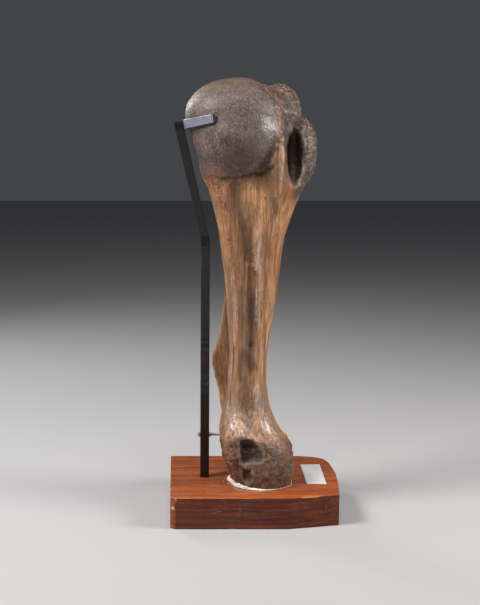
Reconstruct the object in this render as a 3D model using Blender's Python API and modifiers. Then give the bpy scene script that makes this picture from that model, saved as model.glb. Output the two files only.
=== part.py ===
"""Fossil mammoth humerus on its display stand.

A left upper arm bone, 0.90 m long, stands upright on a hardwood block. Its foot is bedded
in white plaster, a bent square steel bar rises beside it, and a felt-lined strap at the top
of the bar cradles the ball of the shoulder joint. A thin pin ties the lower end to the bar.
Metres, +Z up. The origin is under the middle of the block, +X is to the viewer's right and
+Y points away from the viewer, so the inner side of the bone faces -Y and the front of the
animal is towards +X.
"""

import math

import bmesh
import bpy
from mathutils import Euler, Matrix, Vector, noise

# Driving dimensions
BASE_HEIGHT = 0.0706
BASE_EDGE_ROUNDING = 0.0025
FIT_GAP = 0.0003

# Outline of the block seen from above, clockwise from the far left corner
BASE_OUTLINE = (
    (-0.193, 0.1670),
    (0.115, 0.1672),
    (0.150, 0.1610),
    (0.171, 0.1500),
    (0.182, 0.1370),
    (0.1885, 0.1150),
    (0.1920, 0.0700),
    (0.1930, 0.0150),
    (0.1885, -0.0500),
    (0.1840, -0.0980),
    (0.1785, -0.1400),
    (0.0635, -0.1672),
    (-0.1818, -0.1672),
    (-0.1930, -0.1590),
)

# Square bar, from the socket in the block to the strap
BAR_SIDE = 0.020
BAR_Y = -0.006
BAR_FOOT_X = -0.1143
BAR_SOCKET_DEPTH = 0.045
BAR_BEND_Z = 0.6165
BAR_BEND_RADIUS = 0.110
BAR_LEAN = math.radians(13.2)
BAR_TOP_Z = 0.8815
BAR_EDGE_ROUNDING = 0.0012

# Strap that cradles the ball, fixed to the right face of the bar near its top
STRAP_HEIGHT = 0.0205
STRAP_END_HEIGHT = 0.0175
STRAP_MIDDLE_Z = 0.8715
STRAP_TILT = math.radians(10.5)
STRAP_THICKNESS = 0.0025
STRAP_INNER_RADIUS = 0.1138
STRAP_HALF_ANGLE = math.radians(62)
FELT_THICKNESS = 0.0016
FELT_EXTRA_ANGLE = math.radians(2.6)
STRAP_SEGMENTS = 22

# Pin from the bar into the lower end of the bone, with a nut on each side of the bar
PIN_Z = 0.1702
PIN_RADIUS = 0.0028
PIN_CLEARANCE = 0.0004
PIN_START_X = -0.1310
PIN_DEPTH_IN_BONE = 0.014
NUT_ACROSS_FLATS = 0.0095
NUT_THICKNESS = 0.0042

# Plaster round the foot: how far it spreads and rises, and where round the foot it is thickest
PLASTER_SPREAD = 0.0020
PLASTER_SPREAD_MORE = 0.0085
PLASTER_HEIGHT = 0.0018
PLASTER_HEIGHT_MORE = 0.0075
PLASTER_THICK_SIDE = math.radians(222)
PLASTER_POINTS = 64

# Label card that lies on the block
CARD_WIDTH = 0.0465
CARD_LENGTH = 0.152
CARD_THICKNESS = 0.0008
CARD_CENTRE = (0.1385, 0.0104)
CARD_TURN = math.radians(-1.2)

# Voxel size of the carved bone and the number of triangles that are kept
CARVING_VOXEL = 0.006
BONE_TRIANGLES = 7400

# Cross-sections of the shaft from the foot up: height, left, right, near and far sides
SHAFT_SECTIONS = (
    (0.040, -0.046, 0.080, -0.106, 0.092),
    (0.075, -0.057, 0.087, -0.113, 0.098),
    (0.105, -0.068, 0.090, -0.114, 0.104),
    (0.135, -0.077, 0.090, -0.109, 0.108),
    (0.160, -0.085, 0.074, -0.100, 0.108),
    (0.190, -0.085, 0.0555, -0.086, 0.102),
    (0.220, -0.077, 0.041, -0.073, 0.092),
    (0.250, -0.066, 0.032, -0.064, 0.080),
    (0.290, -0.062, 0.0265, -0.058, 0.068),
    (0.335, -0.060, 0.0255, -0.055, 0.060),
    (0.375, -0.060, 0.0295, -0.054, 0.058),
    (0.417, -0.062, 0.0345, -0.054, 0.060),
    (0.450, -0.065, 0.0395, -0.055, 0.064),
    (0.486, -0.067, 0.0475, -0.056, 0.070),
    (0.540, -0.071, 0.0530, -0.059, 0.075),
    (0.600, -0.080, 0.0595, -0.063, 0.079),
    (0.636, -0.085, 0.0670, -0.066, 0.082),
    (0.6626, -0.090, 0.0750, -0.069, 0.086),
    (0.690, -0.096, 0.0860, -0.072, 0.090),
    (0.716, -0.104, 0.0970, -0.074, 0.095),
    (0.743, -0.112, 0.1100, -0.076, 0.100),
    (0.770, -0.119, 0.1150, -0.075, 0.104),
    (0.800, -0.124, 0.1100, -0.072, 0.106),
    (0.850, -0.118, 0.0900, -0.058, 0.104),
    (0.905, -0.085, 0.0650, -0.030, 0.090),
)

# Thin crest above the elbow on the outer side: height, root and edge in plan, half thickness
CREST_SECTIONS = (
    (0.180, (-0.020, 0.070), (-0.066, 0.096), 0.012),
    (0.214, (-0.020, 0.062), (-0.078, 0.086), 0.011),
    (0.245, (-0.020, 0.054), (-0.081, 0.078), 0.010),
    (0.268, (-0.020, 0.048), (-0.086, 0.072), 0.009),
    (0.292, (-0.020, 0.042), (-0.093, 0.066), 0.009),
    (0.320, (-0.020, 0.038), (-0.101, 0.061), 0.008),
    (0.343, (-0.020, 0.035), (-0.104, 0.057), 0.008),
    (0.360, (-0.020, 0.032), (-0.098, 0.053), 0.008),
    (0.376, (-0.020, 0.030), (-0.089, 0.049), 0.009),
    (0.400, (-0.020, 0.028), (-0.083, 0.045), 0.010),
    (0.430, (-0.020, 0.026), (-0.079, 0.040), 0.011),
    (0.465, (-0.020, 0.024), (-0.0745, 0.034), 0.012),
    (0.500, (-0.020, 0.022), (-0.069, 0.028), 0.012),
    (0.530, (-0.020, 0.020), (-0.062, 0.024), 0.012),
)
SECTION_POINTS = 40

# Swellings that are joined to the shaft: centre, half sizes and turn in degrees about X, Y, Z
SWELLINGS = {
    "ball, upper part": ((-0.047, -0.010, 0.8965), (0.1145, 0.1045, 0.0785), (0, 0, 0)),
    "ball, lower part": ((-0.044, -0.016, 0.8600), (0.1005, 0.1045, 0.1060), (0, 0, 0)),
    "neck under the ball": ((-0.056, 0.000, 0.812), (0.070, 0.088, 0.100), (0, 14, 0)),
    "greater tubercle, upper lobe": ((0.0330, 0.052, 0.8790), (0.0665, 0.068, 0.0910), (0, 24, 0)),
    "greater tubercle, lower lobe": ((0.095, 0.024, 0.8145), (0.0425, 0.058, 0.079), (0, 0, 0)),
    "greater tubercle, outer side": ((0.015, 0.068, 0.780), (0.082, 0.046, 0.150), (-8, 6, 0)),
    "lesser tubercle": ((0.036, -0.052, 0.800), (0.021, 0.042, 0.100), (0, 4, 0)),
    "deltoid crest": ((0.012, 0.060, 0.590), (0.032, 0.028, 0.170), (-4, 4, 0)),
    "deltoid tubercle": ((0.014, 0.060, 0.510), (0.028, 0.024, 0.080), (-4, 4, 0)),
    "outer knuckle above the elbow": ((-0.018, 0.092, 0.165), (0.050, 0.028, 0.070), (0, 0, 0)),
    "inner knuckle above the elbow": ((-0.044, -0.060, 0.160), (0.036, 0.040, 0.062), (0, 0, 0)),
    "inner condyle": ((0.017, -0.060, 0.106), (0.072, 0.052, 0.080), (0, 0, 0)),
    "outer condyle": ((0.016, 0.060, 0.106), (0.070, 0.044, 0.076), (0, 0, 0)),
}

# Hollows that are cut out of it
HOLLOWS = {
    "biceps groove": ((0.079, -0.072, 0.815), (0.0215, 0.072, 0.080), (0, 0, 0)),
    "biceps groove, lower end": ((0.084, -0.094, 0.742), (0.015, 0.040, 0.066), (0, 8, 0)),
    "dip between ball and tubercle": ((0.010, -0.010, 0.990), (0.022, 0.070, 0.033), (0, 20, 0)),
    "pit in the inner condyle": ((-0.022, -0.126, 0.138), (0.020, 0.030, 0.036), (0, -14, 0)),
    "olecranon fossa": ((-0.094, 0.012, 0.190), (0.036, 0.038, 0.050), (0, 0, 0)),
    "radial fossa": ((0.070, 0.005, 0.215), (0.022, 0.046, 0.038), (0, 0, 0)),
    "front of the pulley groove": ((0.112, -0.004, 0.105), (0.024, 0.028, 0.070), (0, 0, 0)),
    "back of the pulley groove": ((-0.078, 0.004, 0.085), (0.030, 0.030, 0.050), (0, 0, 0)),
}

# Strokes that raise (+) or press in (-) the surface along a line: points, half width, height
STROKES = {
    "lip of the ball": (
        ((-0.115, -0.075, 0.785), (-0.070, -0.100, 0.762), (-0.010, -0.105, 0.760), (0.035, -0.095, 0.800)),
        0.010,
        0.0030,
    ),
    "hollow under the lip": (
        ((-0.110, -0.060, 0.745), (-0.060, -0.085, 0.735), (0.000, -0.085, 0.735), (0.034, -0.078, 0.750)),
        0.016,
        -0.0050,
    ),
    "ridge beside the biceps groove": (
        ((0.050, -0.088, 0.840), (0.055, -0.088, 0.770), (0.054, -0.076, 0.700), (0.044, -0.064, 0.640)),
        0.009,
        0.0050,
    ),
    "long furrow": (
        (
            (-0.024, -0.072, 0.660),
            (-0.020, -0.064, 0.560),
            (-0.014, -0.058, 0.440),
            (-0.014, -0.056, 0.300),
            (-0.018, -0.068, 0.220),
            (-0.022, -0.090, 0.170),
        ),
        0.011,
        -0.0045,
    ),
    "ridge left of the furrow": (
        ((-0.062, -0.062, 0.640), (-0.050, -0.054, 0.500), (-0.042, -0.050, 0.380), (-0.048, -0.054, 0.260)),
        0.012,
        0.0035,
    ),
    "left ridge above the elbow": (
        ((-0.044, -0.054, 0.290), (-0.048, -0.066, 0.225), (-0.054, -0.082, 0.185), (-0.060, -0.090, 0.150)),
        0.012,
        0.0040,
    ),
    "right ridge above the elbow": (
        ((0.000, -0.058, 0.290), (0.008, -0.074, 0.225), (0.022, -0.094, 0.180), (0.040, -0.106, 0.150)),
        0.012,
        0.0045,
    ),
    "spiral groove": (
        ((0.030, 0.050, 0.430), (0.014, 0.066, 0.380), (0.004, 0.070, 0.320), (0.020, 0.066, 0.250)),
        0.024,
        -0.0060,
    ),
}

# Broad unevenness of old bone
UNEVEN_SIZE = 0.055
UNEVEN_HEIGHT = 0.0016


def clear_scene():
    """Removes whatever is in the scene."""
    for old in list(bpy.data.objects):
        bpy.data.objects.remove(old)


def make_collection(name):
    """A new collection in the scene."""
    made = bpy.data.collections.new(name)
    bpy.context.scene.collection.children.link(made)
    return made


def make_material(name, colour, roughness, metallic=0.0):
    """A plain finish: base colour, roughness and metallic value."""
    made = bpy.data.materials.new(name)
    made.use_nodes = True
    shader = made.node_tree.nodes["Principled BSDF"]
    shader.inputs["Base Color"].default_value = (*colour, 1.0)
    shader.inputs["Roughness"].default_value = roughness
    shader.inputs["Metallic"].default_value = metallic
    return made


def add_object(name, data, collection, material=None):
    """Puts mesh data in the collection as a named object."""
    made = bpy.data.objects.new(name, data)
    collection.objects.link(made)
    if material:
        data.materials.append(material)
    return made


def mesh_from(bm, name):
    """Turns a bmesh into a mesh and frees it."""
    mesh = bpy.data.meshes.new(name)
    bm.to_mesh(mesh)
    bm.free()
    return mesh


def bake(thing):
    """Replaces an object's mesh with its evaluated one, so that its modifiers are used up."""
    graph = bpy.context.evaluated_depsgraph_get()
    graph.update()
    made = bpy.data.meshes.new_from_object(thing.evaluated_get(graph))
    old = thing.data
    thing.modifiers.clear()
    thing.data = made
    bpy.data.meshes.remove(old)


def as_guide(thing):
    """Marks a cutter or a guide, which isn't part of the object."""
    thing.hide_render = True
    thing.display_type = "WIRE"
    return thing


def cut(thing, cutter):
    """Subtracts a cutter with an exact Boolean."""
    modifier = thing.modifiers.new(cutter.name, "BOOLEAN")
    modifier.operation = "DIFFERENCE"
    modifier.object = cutter
    modifier.solver = "EXACT"


def ease_edges(thing, width, segments=2):
    """Rounds the sharp edges of an object."""
    bevel = thing.modifiers.new("eased edges", "BEVEL")
    bevel.width = width
    bevel.segments = segments
    bevel.limit_method = "ANGLE"
    bevel.angle_limit = math.radians(40)


def make_box(name, low, high, collection, material=None):
    """A box between two corners."""
    bm = bmesh.new()
    bmesh.ops.create_cube(bm, size=1.0)
    bmesh.ops.scale(bm, vec=Vector(high) - Vector(low), verts=bm.verts)
    bmesh.ops.translate(bm, vec=(Vector(high) + Vector(low)) / 2, verts=bm.verts)
    return add_object(name, mesh_from(bm, name), collection, material)


def make_rod(name, radius, start, end, sides, collection, material=None):
    """A straight round or many-sided rod between two points."""
    run = Vector(end) - Vector(start)
    turn = run.to_track_quat("Z", "Y").to_matrix().to_4x4()
    place = Matrix.Translation((Vector(start) + Vector(end)) / 2) @ turn
    bm = bmesh.new()
    bmesh.ops.create_cone(
        bm, cap_ends=True, segments=sides, radius1=radius, radius2=radius, depth=run.length, matrix=place
    )
    return add_object(name, mesh_from(bm, name), collection, material)


def add_ellipsoid(bm, centre, half_sizes, turn_degrees, rings=24):
    """Adds a stretched and turned sphere to a bmesh."""
    turn = Euler([math.radians(angle) for angle in turn_degrees]).to_matrix().to_4x4()
    place = Matrix.Translation(centre) @ turn @ Matrix.Diagonal((*half_sizes, 1.0))
    bmesh.ops.create_uvsphere(bm, u_segments=2 * rings, v_segments=rings, radius=1.0, matrix=place)


def add_ring(bm, middle, half_length, half_width, turn, squareness):
    """One level ring: a rounded oval about a middle point, turned in plan."""
    power = 2.0 / squareness
    ring = []
    for step in range(SECTION_POINTS):
        angle = 2 * math.pi * step / SECTION_POINTS
        c, s = math.cos(angle), math.sin(angle)
        u = half_length * math.copysign(abs(c) ** power, c)
        v = half_width * math.copysign(abs(s) ** power, s)
        x = middle.x + u * math.cos(turn) - v * math.sin(turn)
        y = middle.y + u * math.sin(turn) + v * math.cos(turn)
        ring.append(bm.verts.new((x, y, middle.z)))
    return ring


def skin_rings(bm, rings):
    """Joins rings into a closed tube."""
    for lower, upper in zip(rings, rings[1:]):
        for i in range(SECTION_POINTS):
            j = (i + 1) % SECTION_POINTS
            bm.faces.new((lower[i], lower[j], upper[j], upper[i]))
    bm.faces.new(list(reversed(rings[0])))
    bm.faces.new(rings[-1])


def add_shaft(bm):
    """Lofts the shaft through its cross-sections."""
    rings = []
    for height, left, right, near, far in SHAFT_SECTIONS:
        middle = Vector(((left + right) / 2, (near + far) / 2, height))
        rings.append(add_ring(bm, middle, (right - left) / 2, (far - near) / 2, 0.0, squareness=2.3))
    skin_rings(bm, rings)


def add_crest(bm):
    """Lofts the thin crest on the outer side above the elbow."""
    rings = []
    for height, root, edge, half_thickness in CREST_SECTIONS:
        run = Vector(edge) - Vector(root)
        middle = (Vector(root) + Vector(edge)) / 2
        turn = math.atan2(run.y, run.x)
        rings.append(
            add_ring(bm, Vector((*middle, height)), run.length / 2, half_thickness, turn, squareness=2.6)
        )
    skin_rings(bm, rings)


def fuse(thing, voxel, smoothing):
    """Melts overlapping shapes into one skin and softens its creases."""
    remesh = thing.modifiers.new("one skin", "REMESH")
    remesh.mode = "VOXEL"
    remesh.voxel_size = voxel
    remesh.adaptivity = 0.0
    smooth = thing.modifiers.new("soften", "SMOOTH")
    smooth.factor = 0.5
    smooth.iterations = smoothing
    bake(thing)


def distance_to_line(point, line):
    """Shortest distance from a point to a line of straight runs."""
    best = math.inf
    for start, end in zip(line, line[1:]):
        run = end - start
        share = max(0.0, min(1.0, (point - start).dot(run) / run.length_squared))
        best = min(best, (point - start - run * share).length)
    return best


def rounded_line(points, steps=5):
    """A rounded line through the points, by Catmull-Rom interpolation."""
    ends = [2 * points[0] - points[1], *points, 2 * points[-1] - points[-2]]
    line = []
    for a, b, c, d in zip(ends, ends[1:], ends[2:], ends[3:]):
        for step in range(steps):
            t = step / steps
            straight = 2 * b + (c - a) * t
            bend = (2 * a - 5 * b + 4 * c - d) * t**2 + (3 * b - a - 3 * c + d) * t**3
            line.append(0.5 * (straight + bend))
    line.append(points[-1])
    return line


def sculpt(mesh):
    """Raises or presses in the surface along the strokes, and gives it its broad unevenness."""
    strokes = []
    for points, width, height in STROKES.values():
        strokes.append((rounded_line([Vector(point) for point in points]), width, height))
    bm = bmesh.new()
    bm.from_mesh(mesh)
    bm.normal_update()
    moves = []
    for vert in bm.verts:
        amount = UNEVEN_HEIGHT * noise.noise(vert.co / UNEVEN_SIZE)
        for line, width, height in strokes:
            distance = distance_to_line(vert.co, line)
            if distance < 3 * width:
                amount += height * math.exp(-((distance / width) ** 2))
        moves.append(vert.normal * amount)
    for vert, move in zip(bm.verts, moves):
        vert.co += move
    bm.to_mesh(mesh)
    bm.free()


def make_bone(parts, cutters, material):
    """Models the humerus as one carved solid, cut off flat where it stands on the block."""
    bm = bmesh.new()
    add_shaft(bm)
    add_crest(bm)
    for centre, half_sizes, turn in SWELLINGS.values():
        add_ellipsoid(bm, centre, half_sizes, turn)
    bone = add_object("humerus", mesh_from(bm, "humerus"), parts, material)
    fuse(bone, CARVING_VOXEL, smoothing=2)
    for name, (centre, half_sizes, turn) in HOLLOWS.items():
        bm = bmesh.new()
        add_ellipsoid(bm, centre, half_sizes, turn)
        cut(bone, as_guide(add_object(name, mesh_from(bm, name), cutters)))
    bake(bone)
    fuse(bone, CARVING_VOXEL, smoothing=5)
    sculpt(bone.data)
    bone.data.materials.clear()
    bone.data.materials.append(material)

    bone.data.calc_loop_triangles()
    fewer = bone.modifiers.new("fewer faces", "DECIMATE")
    fewer.ratio = BONE_TRIANGLES / len(bone.data.loop_triangles)
    bake(bone)

    reach = 0.3
    foot_level = BASE_HEIGHT + FIT_GAP
    below = as_guide(make_box("below the foot", (-reach, -reach, -reach), (reach, reach, foot_level), cutters))
    cut(bone, below)
    bake(bone)
    return bone


def make_base(parts, cutters, material):
    """The hardwood block, with a square socket for the bar."""
    bm = bmesh.new()
    corners = [bm.verts.new((x, y, 0.0)) for x, y in BASE_OUTLINE]
    floor = bm.faces.new(corners)
    grown = bmesh.ops.extrude_face_region(bm, geom=[floor])
    raised = [element for element in grown["geom"] if isinstance(element, bmesh.types.BMVert)]
    bmesh.ops.translate(bm, vec=(0, 0, BASE_HEIGHT), verts=raised)
    bmesh.ops.recalc_face_normals(bm, faces=bm.faces)
    base = add_object("base_block", mesh_from(bm, "base_block"), parts, material)
    ease_edges(base, BASE_EDGE_ROUNDING)
    half = BAR_SIDE / 2 + FIT_GAP
    socket = make_box(
        "bar socket",
        (BAR_FOOT_X - half, BAR_Y - half, BASE_HEIGHT - BAR_SOCKET_DEPTH),
        (BAR_FOOT_X + half, BAR_Y + half, BASE_HEIGHT + 0.01),
        cutters,
    )
    cut(base, as_guide(socket))
    bake(base)
    return base


def bar_centre_line():
    """Points of the bar's centre line, up from its foot, with the bend as an arc, and its top direction."""
    points = [Vector((BAR_FOOT_X, BAR_Y, BASE_HEIGHT - BAR_SOCKET_DEPTH + FIT_GAP))]
    steps = 10
    middle = Vector(
        (BAR_FOOT_X - BAR_BEND_RADIUS, BAR_Y, BAR_BEND_Z - BAR_BEND_RADIUS * math.tan(BAR_LEAN / 2))
    )
    for step in range(steps + 1):
        angle = BAR_LEAN * step / steps
        points.append(middle + BAR_BEND_RADIUS * Vector((math.cos(angle), 0.0, math.sin(angle))))
    direction = Vector((-math.sin(BAR_LEAN), 0.0, math.cos(BAR_LEAN)))
    length = (BAR_TOP_Z - points[-1].z) / direction.z
    points.append(points[-1] + direction * length)
    return points, direction


def make_bar(parts, cutters, material):
    """The bent square bar: its side outline, filled and given its thickness, with a hole for the pin."""
    line, direction = bar_centre_line()
    left, right = [], []
    for i, point in enumerate(line):
        run = (line[min(i + 1, len(line) - 1)] - line[max(i - 1, 0)]).normalized()
        if i <= 1:
            run = Vector((0, 0, 1))
        if i >= len(line) - 2:
            run = direction
        across = Vector((run.z, 0.0, -run.x)) * BAR_SIDE / 2
        left.append(point - across)
        right.append(point + across)
    bm = bmesh.new()
    corners = [bm.verts.new(point - Vector((0, BAR_SIDE / 2, 0))) for point in right + list(reversed(left))]
    outline = bm.faces.new(corners)
    grown = bmesh.ops.extrude_face_region(bm, geom=[outline])
    moved = [element for element in grown["geom"] if isinstance(element, bmesh.types.BMVert)]
    bmesh.ops.translate(bm, vec=(0, BAR_SIDE, 0), verts=moved)
    bmesh.ops.recalc_face_normals(bm, faces=bm.faces)
    bar = add_object("support_bar", mesh_from(bm, "support_bar"), parts, material)
    ease_edges(bar, BAR_EDGE_ROUNDING)
    bore = make_rod(
        "pin bore in bar",
        PIN_RADIUS + PIN_CLEARANCE,
        (BAR_FOOT_X - BAR_SIDE, BAR_Y, PIN_Z),
        (BAR_FOOT_X + BAR_SIDE, BAR_Y, PIN_Z),
        16,
        cutters,
    )
    cut(bar, as_guide(bore))
    bake(bar)
    return bar


def strap_place():
    """Where the strap's own centre and axes are: its middle touches the right face of the leaning bar."""
    line, direction = bar_centre_line()
    across = Vector((direction.z, 0.0, -direction.x))
    along = line[-1] + direction * ((STRAP_MIDDLE_Z - line[-1].z) / direction.z)
    corner = math.sin(BAR_LEAN - STRAP_TILT) * STRAP_HEIGHT / 2
    face = along + across * (BAR_SIDE / 2 + FIT_GAP + corner)
    out = Vector((math.cos(STRAP_TILT), 0.0, math.sin(STRAP_TILT)))
    up = Vector((-math.sin(STRAP_TILT), 0.0, math.cos(STRAP_TILT)))
    turn = Matrix((out, Vector((0, 1, 0)), up)).transposed().to_4x4()
    return Matrix.Translation(face + out * (STRAP_INNER_RADIUS + STRAP_THICKNESS)) @ turn


def make_band(name, inner_radius, thickness, half_angle, parts, material):
    """A flat band bent to an arc, a little lower at its ends: an open strip given its thickness."""
    bm = bmesh.new()
    lower = []
    for step in range(STRAP_SEGMENTS + 1):
        share = 2 * step / STRAP_SEGMENTS - 1
        angle = math.pi + half_angle * share
        lower.append(bm.verts.new((inner_radius * math.cos(angle), inner_radius * math.sin(angle), -0.5)))
    edges = [bm.edges.new(pair) for pair in zip(lower, lower[1:])]
    grown = bmesh.ops.extrude_edge_only(bm, edges=edges)
    raised = [element for element in grown["geom"] if isinstance(element, bmesh.types.BMVert)]
    bmesh.ops.translate(bm, vec=(0, 0, 1.0), verts=raised)
    for vert in bm.verts:
        turned = abs(math.atan2(vert.co.y, -vert.co.x)) / half_angle
        vert.co.z *= STRAP_HEIGHT + (STRAP_END_HEIGHT - STRAP_HEIGHT) * turned
    bmesh.ops.recalc_face_normals(bm, faces=bm.faces)
    middle = bm.faces[:][len(bm.faces) // 2]
    if middle.normal.x > 0:
        bmesh.ops.reverse_faces(bm, faces=bm.faces)
    bmesh.ops.transform(bm, matrix=strap_place(), verts=bm.verts)
    band = add_object(name, mesh_from(bm, name), parts, material)
    shell = band.modifiers.new("thickness", "SOLIDIFY")
    shell.thickness = thickness
    shell.offset = 1.0
    shell.use_even_offset = True
    bake(band)
    return band


def make_strap(parts, strap_material, felt_material):
    """The steel strap and the felt that lines it."""
    make_band("cradle_strap", STRAP_INNER_RADIUS, STRAP_THICKNESS, STRAP_HALF_ANGLE, parts, strap_material)
    make_band(
        "felt_lining",
        STRAP_INNER_RADIUS - FIT_GAP - FELT_THICKNESS,
        FELT_THICKNESS,
        STRAP_HALF_ANGLE + FELT_EXTRA_ANGLE,
        parts,
        felt_material,
    )


def make_pin(bone, parts, cutters, material):
    """The pin that ties the bone to the bar, its blind hole in the bone, and its two nuts."""
    found, surface, normal, index = bone.ray_cast(Vector((-0.3, BAR_Y, PIN_Z)), Vector((1, 0, 0)))
    hole_end = surface.x + PIN_DEPTH_IN_BONE
    hole = make_rod(
        "pin hole in bone",
        PIN_RADIUS + PIN_CLEARANCE,
        (BAR_FOOT_X, BAR_Y, PIN_Z),
        (hole_end, BAR_Y, PIN_Z),
        16,
        cutters,
    )
    cut(bone, as_guide(hole))
    bake(bone)
    end = (hole_end - PIN_CLEARANCE, BAR_Y, PIN_Z)
    make_rod("support_pin", PIN_RADIUS, (PIN_START_X, BAR_Y, PIN_Z), end, 16, parts, material)
    bore = as_guide(
        make_rod(
            "nut bore",
            PIN_RADIUS + PIN_CLEARANCE,
            (PIN_START_X - 0.01, BAR_Y, PIN_Z),
            (BAR_FOOT_X + BAR_SIDE, BAR_Y, PIN_Z),
            16,
            cutters,
        )
    )
    for name, side in (("pin_nut_left", -1), ("pin_nut_right", 1)):
        near = BAR_FOOT_X + side * (BAR_SIDE / 2 + FIT_GAP)
        far = near + side * NUT_THICKNESS
        corner_radius = NUT_ACROSS_FLATS / 2 / math.cos(math.pi / 6)
        nut = make_rod(name, corner_radius, (near, BAR_Y, PIN_Z), (far, BAR_Y, PIN_Z), 6, parts, material)
        cut(nut, bore)
        bake(nut)


def make_plaster(bone, parts, cutters, material):
    """The thin uneven mound of plaster round the foot, hollowed where the bone stands in it."""
    centre = Vector((0.015, -0.002, 0))
    level = BASE_HEIGHT + FIT_GAP
    bm = bmesh.new()
    foot, crown = [], []
    for step in range(PLASTER_POINTS):
        angle = 2 * math.pi * step / PLASTER_POINTS
        out = Vector((math.cos(angle), math.sin(angle), 0))
        start = centre + out * 0.3 + Vector((0, 0, level + 0.003))
        found, surface, normal, index = bone.ray_cast(start, -out)
        thick = max(0.0, math.cos(angle - PLASTER_THICK_SIDE)) ** 3
        ragged = 1.0 + 0.45 * noise.noise(out * 2.6 + Vector((0, 0, 4.0)))
        spread = (PLASTER_SPREAD + (PLASTER_SPREAD_MORE - PLASTER_SPREAD) * thick) * ragged
        height = (PLASTER_HEIGHT + (PLASTER_HEIGHT_MORE - PLASTER_HEIGHT) * thick) * ragged
        edge = Vector((surface.x, surface.y, level)) + out * spread
        foot.append(bm.verts.new(edge))
        crown.append(bm.verts.new(edge - out * spread * 0.6 + Vector((0, 0, height))))
    for i in range(PLASTER_POINTS):
        j = (i + 1) % PLASTER_POINTS
        bm.faces.new((foot[i], foot[j], crown[j], crown[i]))
    bm.faces.new(list(reversed(foot)))
    top = bm.faces.new(crown)
    bmesh.ops.poke(bm, faces=[top])
    plaster = add_object("plaster_bedding", mesh_from(bm, "plaster_bedding"), parts, material)

    print_of_bone = as_guide(add_object("print of the bone", bone.data.copy(), cutters))
    bm = bmesh.new()
    bm.from_mesh(bone.data)
    bm.normal_update()
    swollen = [(vert, vert.co + vert.normal * 0.0009) for vert in bm.verts]
    for vert, place in swollen:
        vert.co = place
    bm.to_mesh(print_of_bone.data)
    bm.free()
    cut(plaster, print_of_bone)
    bake(plaster)
    return plaster


def make_card(parts, material):
    """The bare label card that lies on the block."""
    half = Vector((CARD_WIDTH / 2, CARD_LENGTH / 2, CARD_THICKNESS / 2))
    card = make_box("label_card", -half, half, parts, material)
    lie = Vector((*CARD_CENTRE, BASE_HEIGHT + FIT_GAP + CARD_THICKNESS / 2))
    card.data.transform(Matrix.Translation(lie) @ Matrix.Rotation(CARD_TURN, 4, "Z"))
    return card


def main():
    """Builds every piece of the object."""
    clear_scene()
    parts = make_collection("mammoth humerus on stand")
    cutters = make_collection("cutters")
    bone_material = make_material("fossil bone", (0.36, 0.20, 0.09), 0.45)
    wood_material = make_material("varnished hardwood", (0.42, 0.10, 0.025), 0.35)
    bar_material = make_material("black painted steel", (0.012, 0.012, 0.014), 0.42)
    strap_material = make_material("dark grey steel", (0.10, 0.105, 0.12), 0.40, 0.6)
    felt_material = make_material("black felt", (0.010, 0.009, 0.009), 0.95)
    pin_material = make_material("bright steel", (0.55, 0.55, 0.56), 0.35, 1.0)
    plaster_material = make_material("white plaster", (0.80, 0.77, 0.70), 0.85)
    card_material = make_material("white card", (0.82, 0.82, 0.80), 0.6)
    bone = make_bone(parts, cutters, bone_material)
    make_base(parts, cutters, wood_material)
    make_bar(parts, cutters, bar_material)
    make_strap(parts, strap_material, felt_material)
    make_pin(bone, parts, cutters, pin_material)
    make_plaster(bone, parts, cutters, plaster_material)
    make_card(parts, card_material)


main()
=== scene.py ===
"""Looks of the fossil mammoth humerus on its display stand.

The bone is grey-brown and mottled on the ball of the joint, honey brown and fibrous along the
shaft and rough and dark at the elbow end. It stands on a varnished hardwood block, held by a
bent black bar, a felt-lined steel strap and a thin pin, with plaster round its foot and a bare
card beside it. Everything is in metres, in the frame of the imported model.
"""

import logging
import math
from dataclasses import dataclass, field
from enum import Enum

import bmesh
import bpy
import numpy as np
from mathutils import Matrix, Vector, noise


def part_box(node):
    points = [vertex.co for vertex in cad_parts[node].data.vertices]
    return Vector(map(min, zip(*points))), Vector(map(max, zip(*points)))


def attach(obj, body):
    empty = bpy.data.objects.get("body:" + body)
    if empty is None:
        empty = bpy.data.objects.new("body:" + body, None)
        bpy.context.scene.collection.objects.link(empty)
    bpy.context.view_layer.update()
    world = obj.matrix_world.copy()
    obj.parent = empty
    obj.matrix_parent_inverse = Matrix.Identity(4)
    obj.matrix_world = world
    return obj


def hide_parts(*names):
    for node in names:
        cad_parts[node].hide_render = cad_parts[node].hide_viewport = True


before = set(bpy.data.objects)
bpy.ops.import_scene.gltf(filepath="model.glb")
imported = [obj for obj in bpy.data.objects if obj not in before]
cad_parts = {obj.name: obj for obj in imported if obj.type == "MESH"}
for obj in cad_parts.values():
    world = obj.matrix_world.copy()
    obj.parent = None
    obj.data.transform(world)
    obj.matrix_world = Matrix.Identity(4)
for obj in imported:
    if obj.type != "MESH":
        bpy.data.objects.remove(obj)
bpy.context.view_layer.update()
BODY = "root"
MILLIMETRES = 1000

Point = tuple[float, float, float]
Flat = tuple[float, float]
Colour = tuple[float, float, float]


class Slot(Enum):
    """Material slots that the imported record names."""

    BONE = "fossil_bone"
    WOOD = "hardwood"
    BAR = "black_steel"
    STRAP = "strap_steel"
    PIN = "pin_steel"
    FELT = "felt"
    PLASTER = "plaster"
    CARD = "card"


class Layer(Enum):
    """Attributes that the carving leaves on the meshes for the finishes to read."""

    CAP = "cap"
    LOBE = "lobe"
    FOOT = "foot"
    FURROW = "furrow"
    SPONGY = "spongy"
    WORN_AND_HIGHLIGHT = "worn"
    GLOSS = "gloss"
    SHADE = "shade"
    WARM = "warm"
    BULGE = "bulge"
    EDGE = "edge"
    CHIP = "chip"
    STRIP = "strip"


class Axis(Enum):
    """Axes of the frame as unit vectors."""

    X = (1.0, 0.0, 0.0)
    Y = (0.0, 1.0, 0.0)
    Z = (0.0, 0.0, 1.0)


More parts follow.
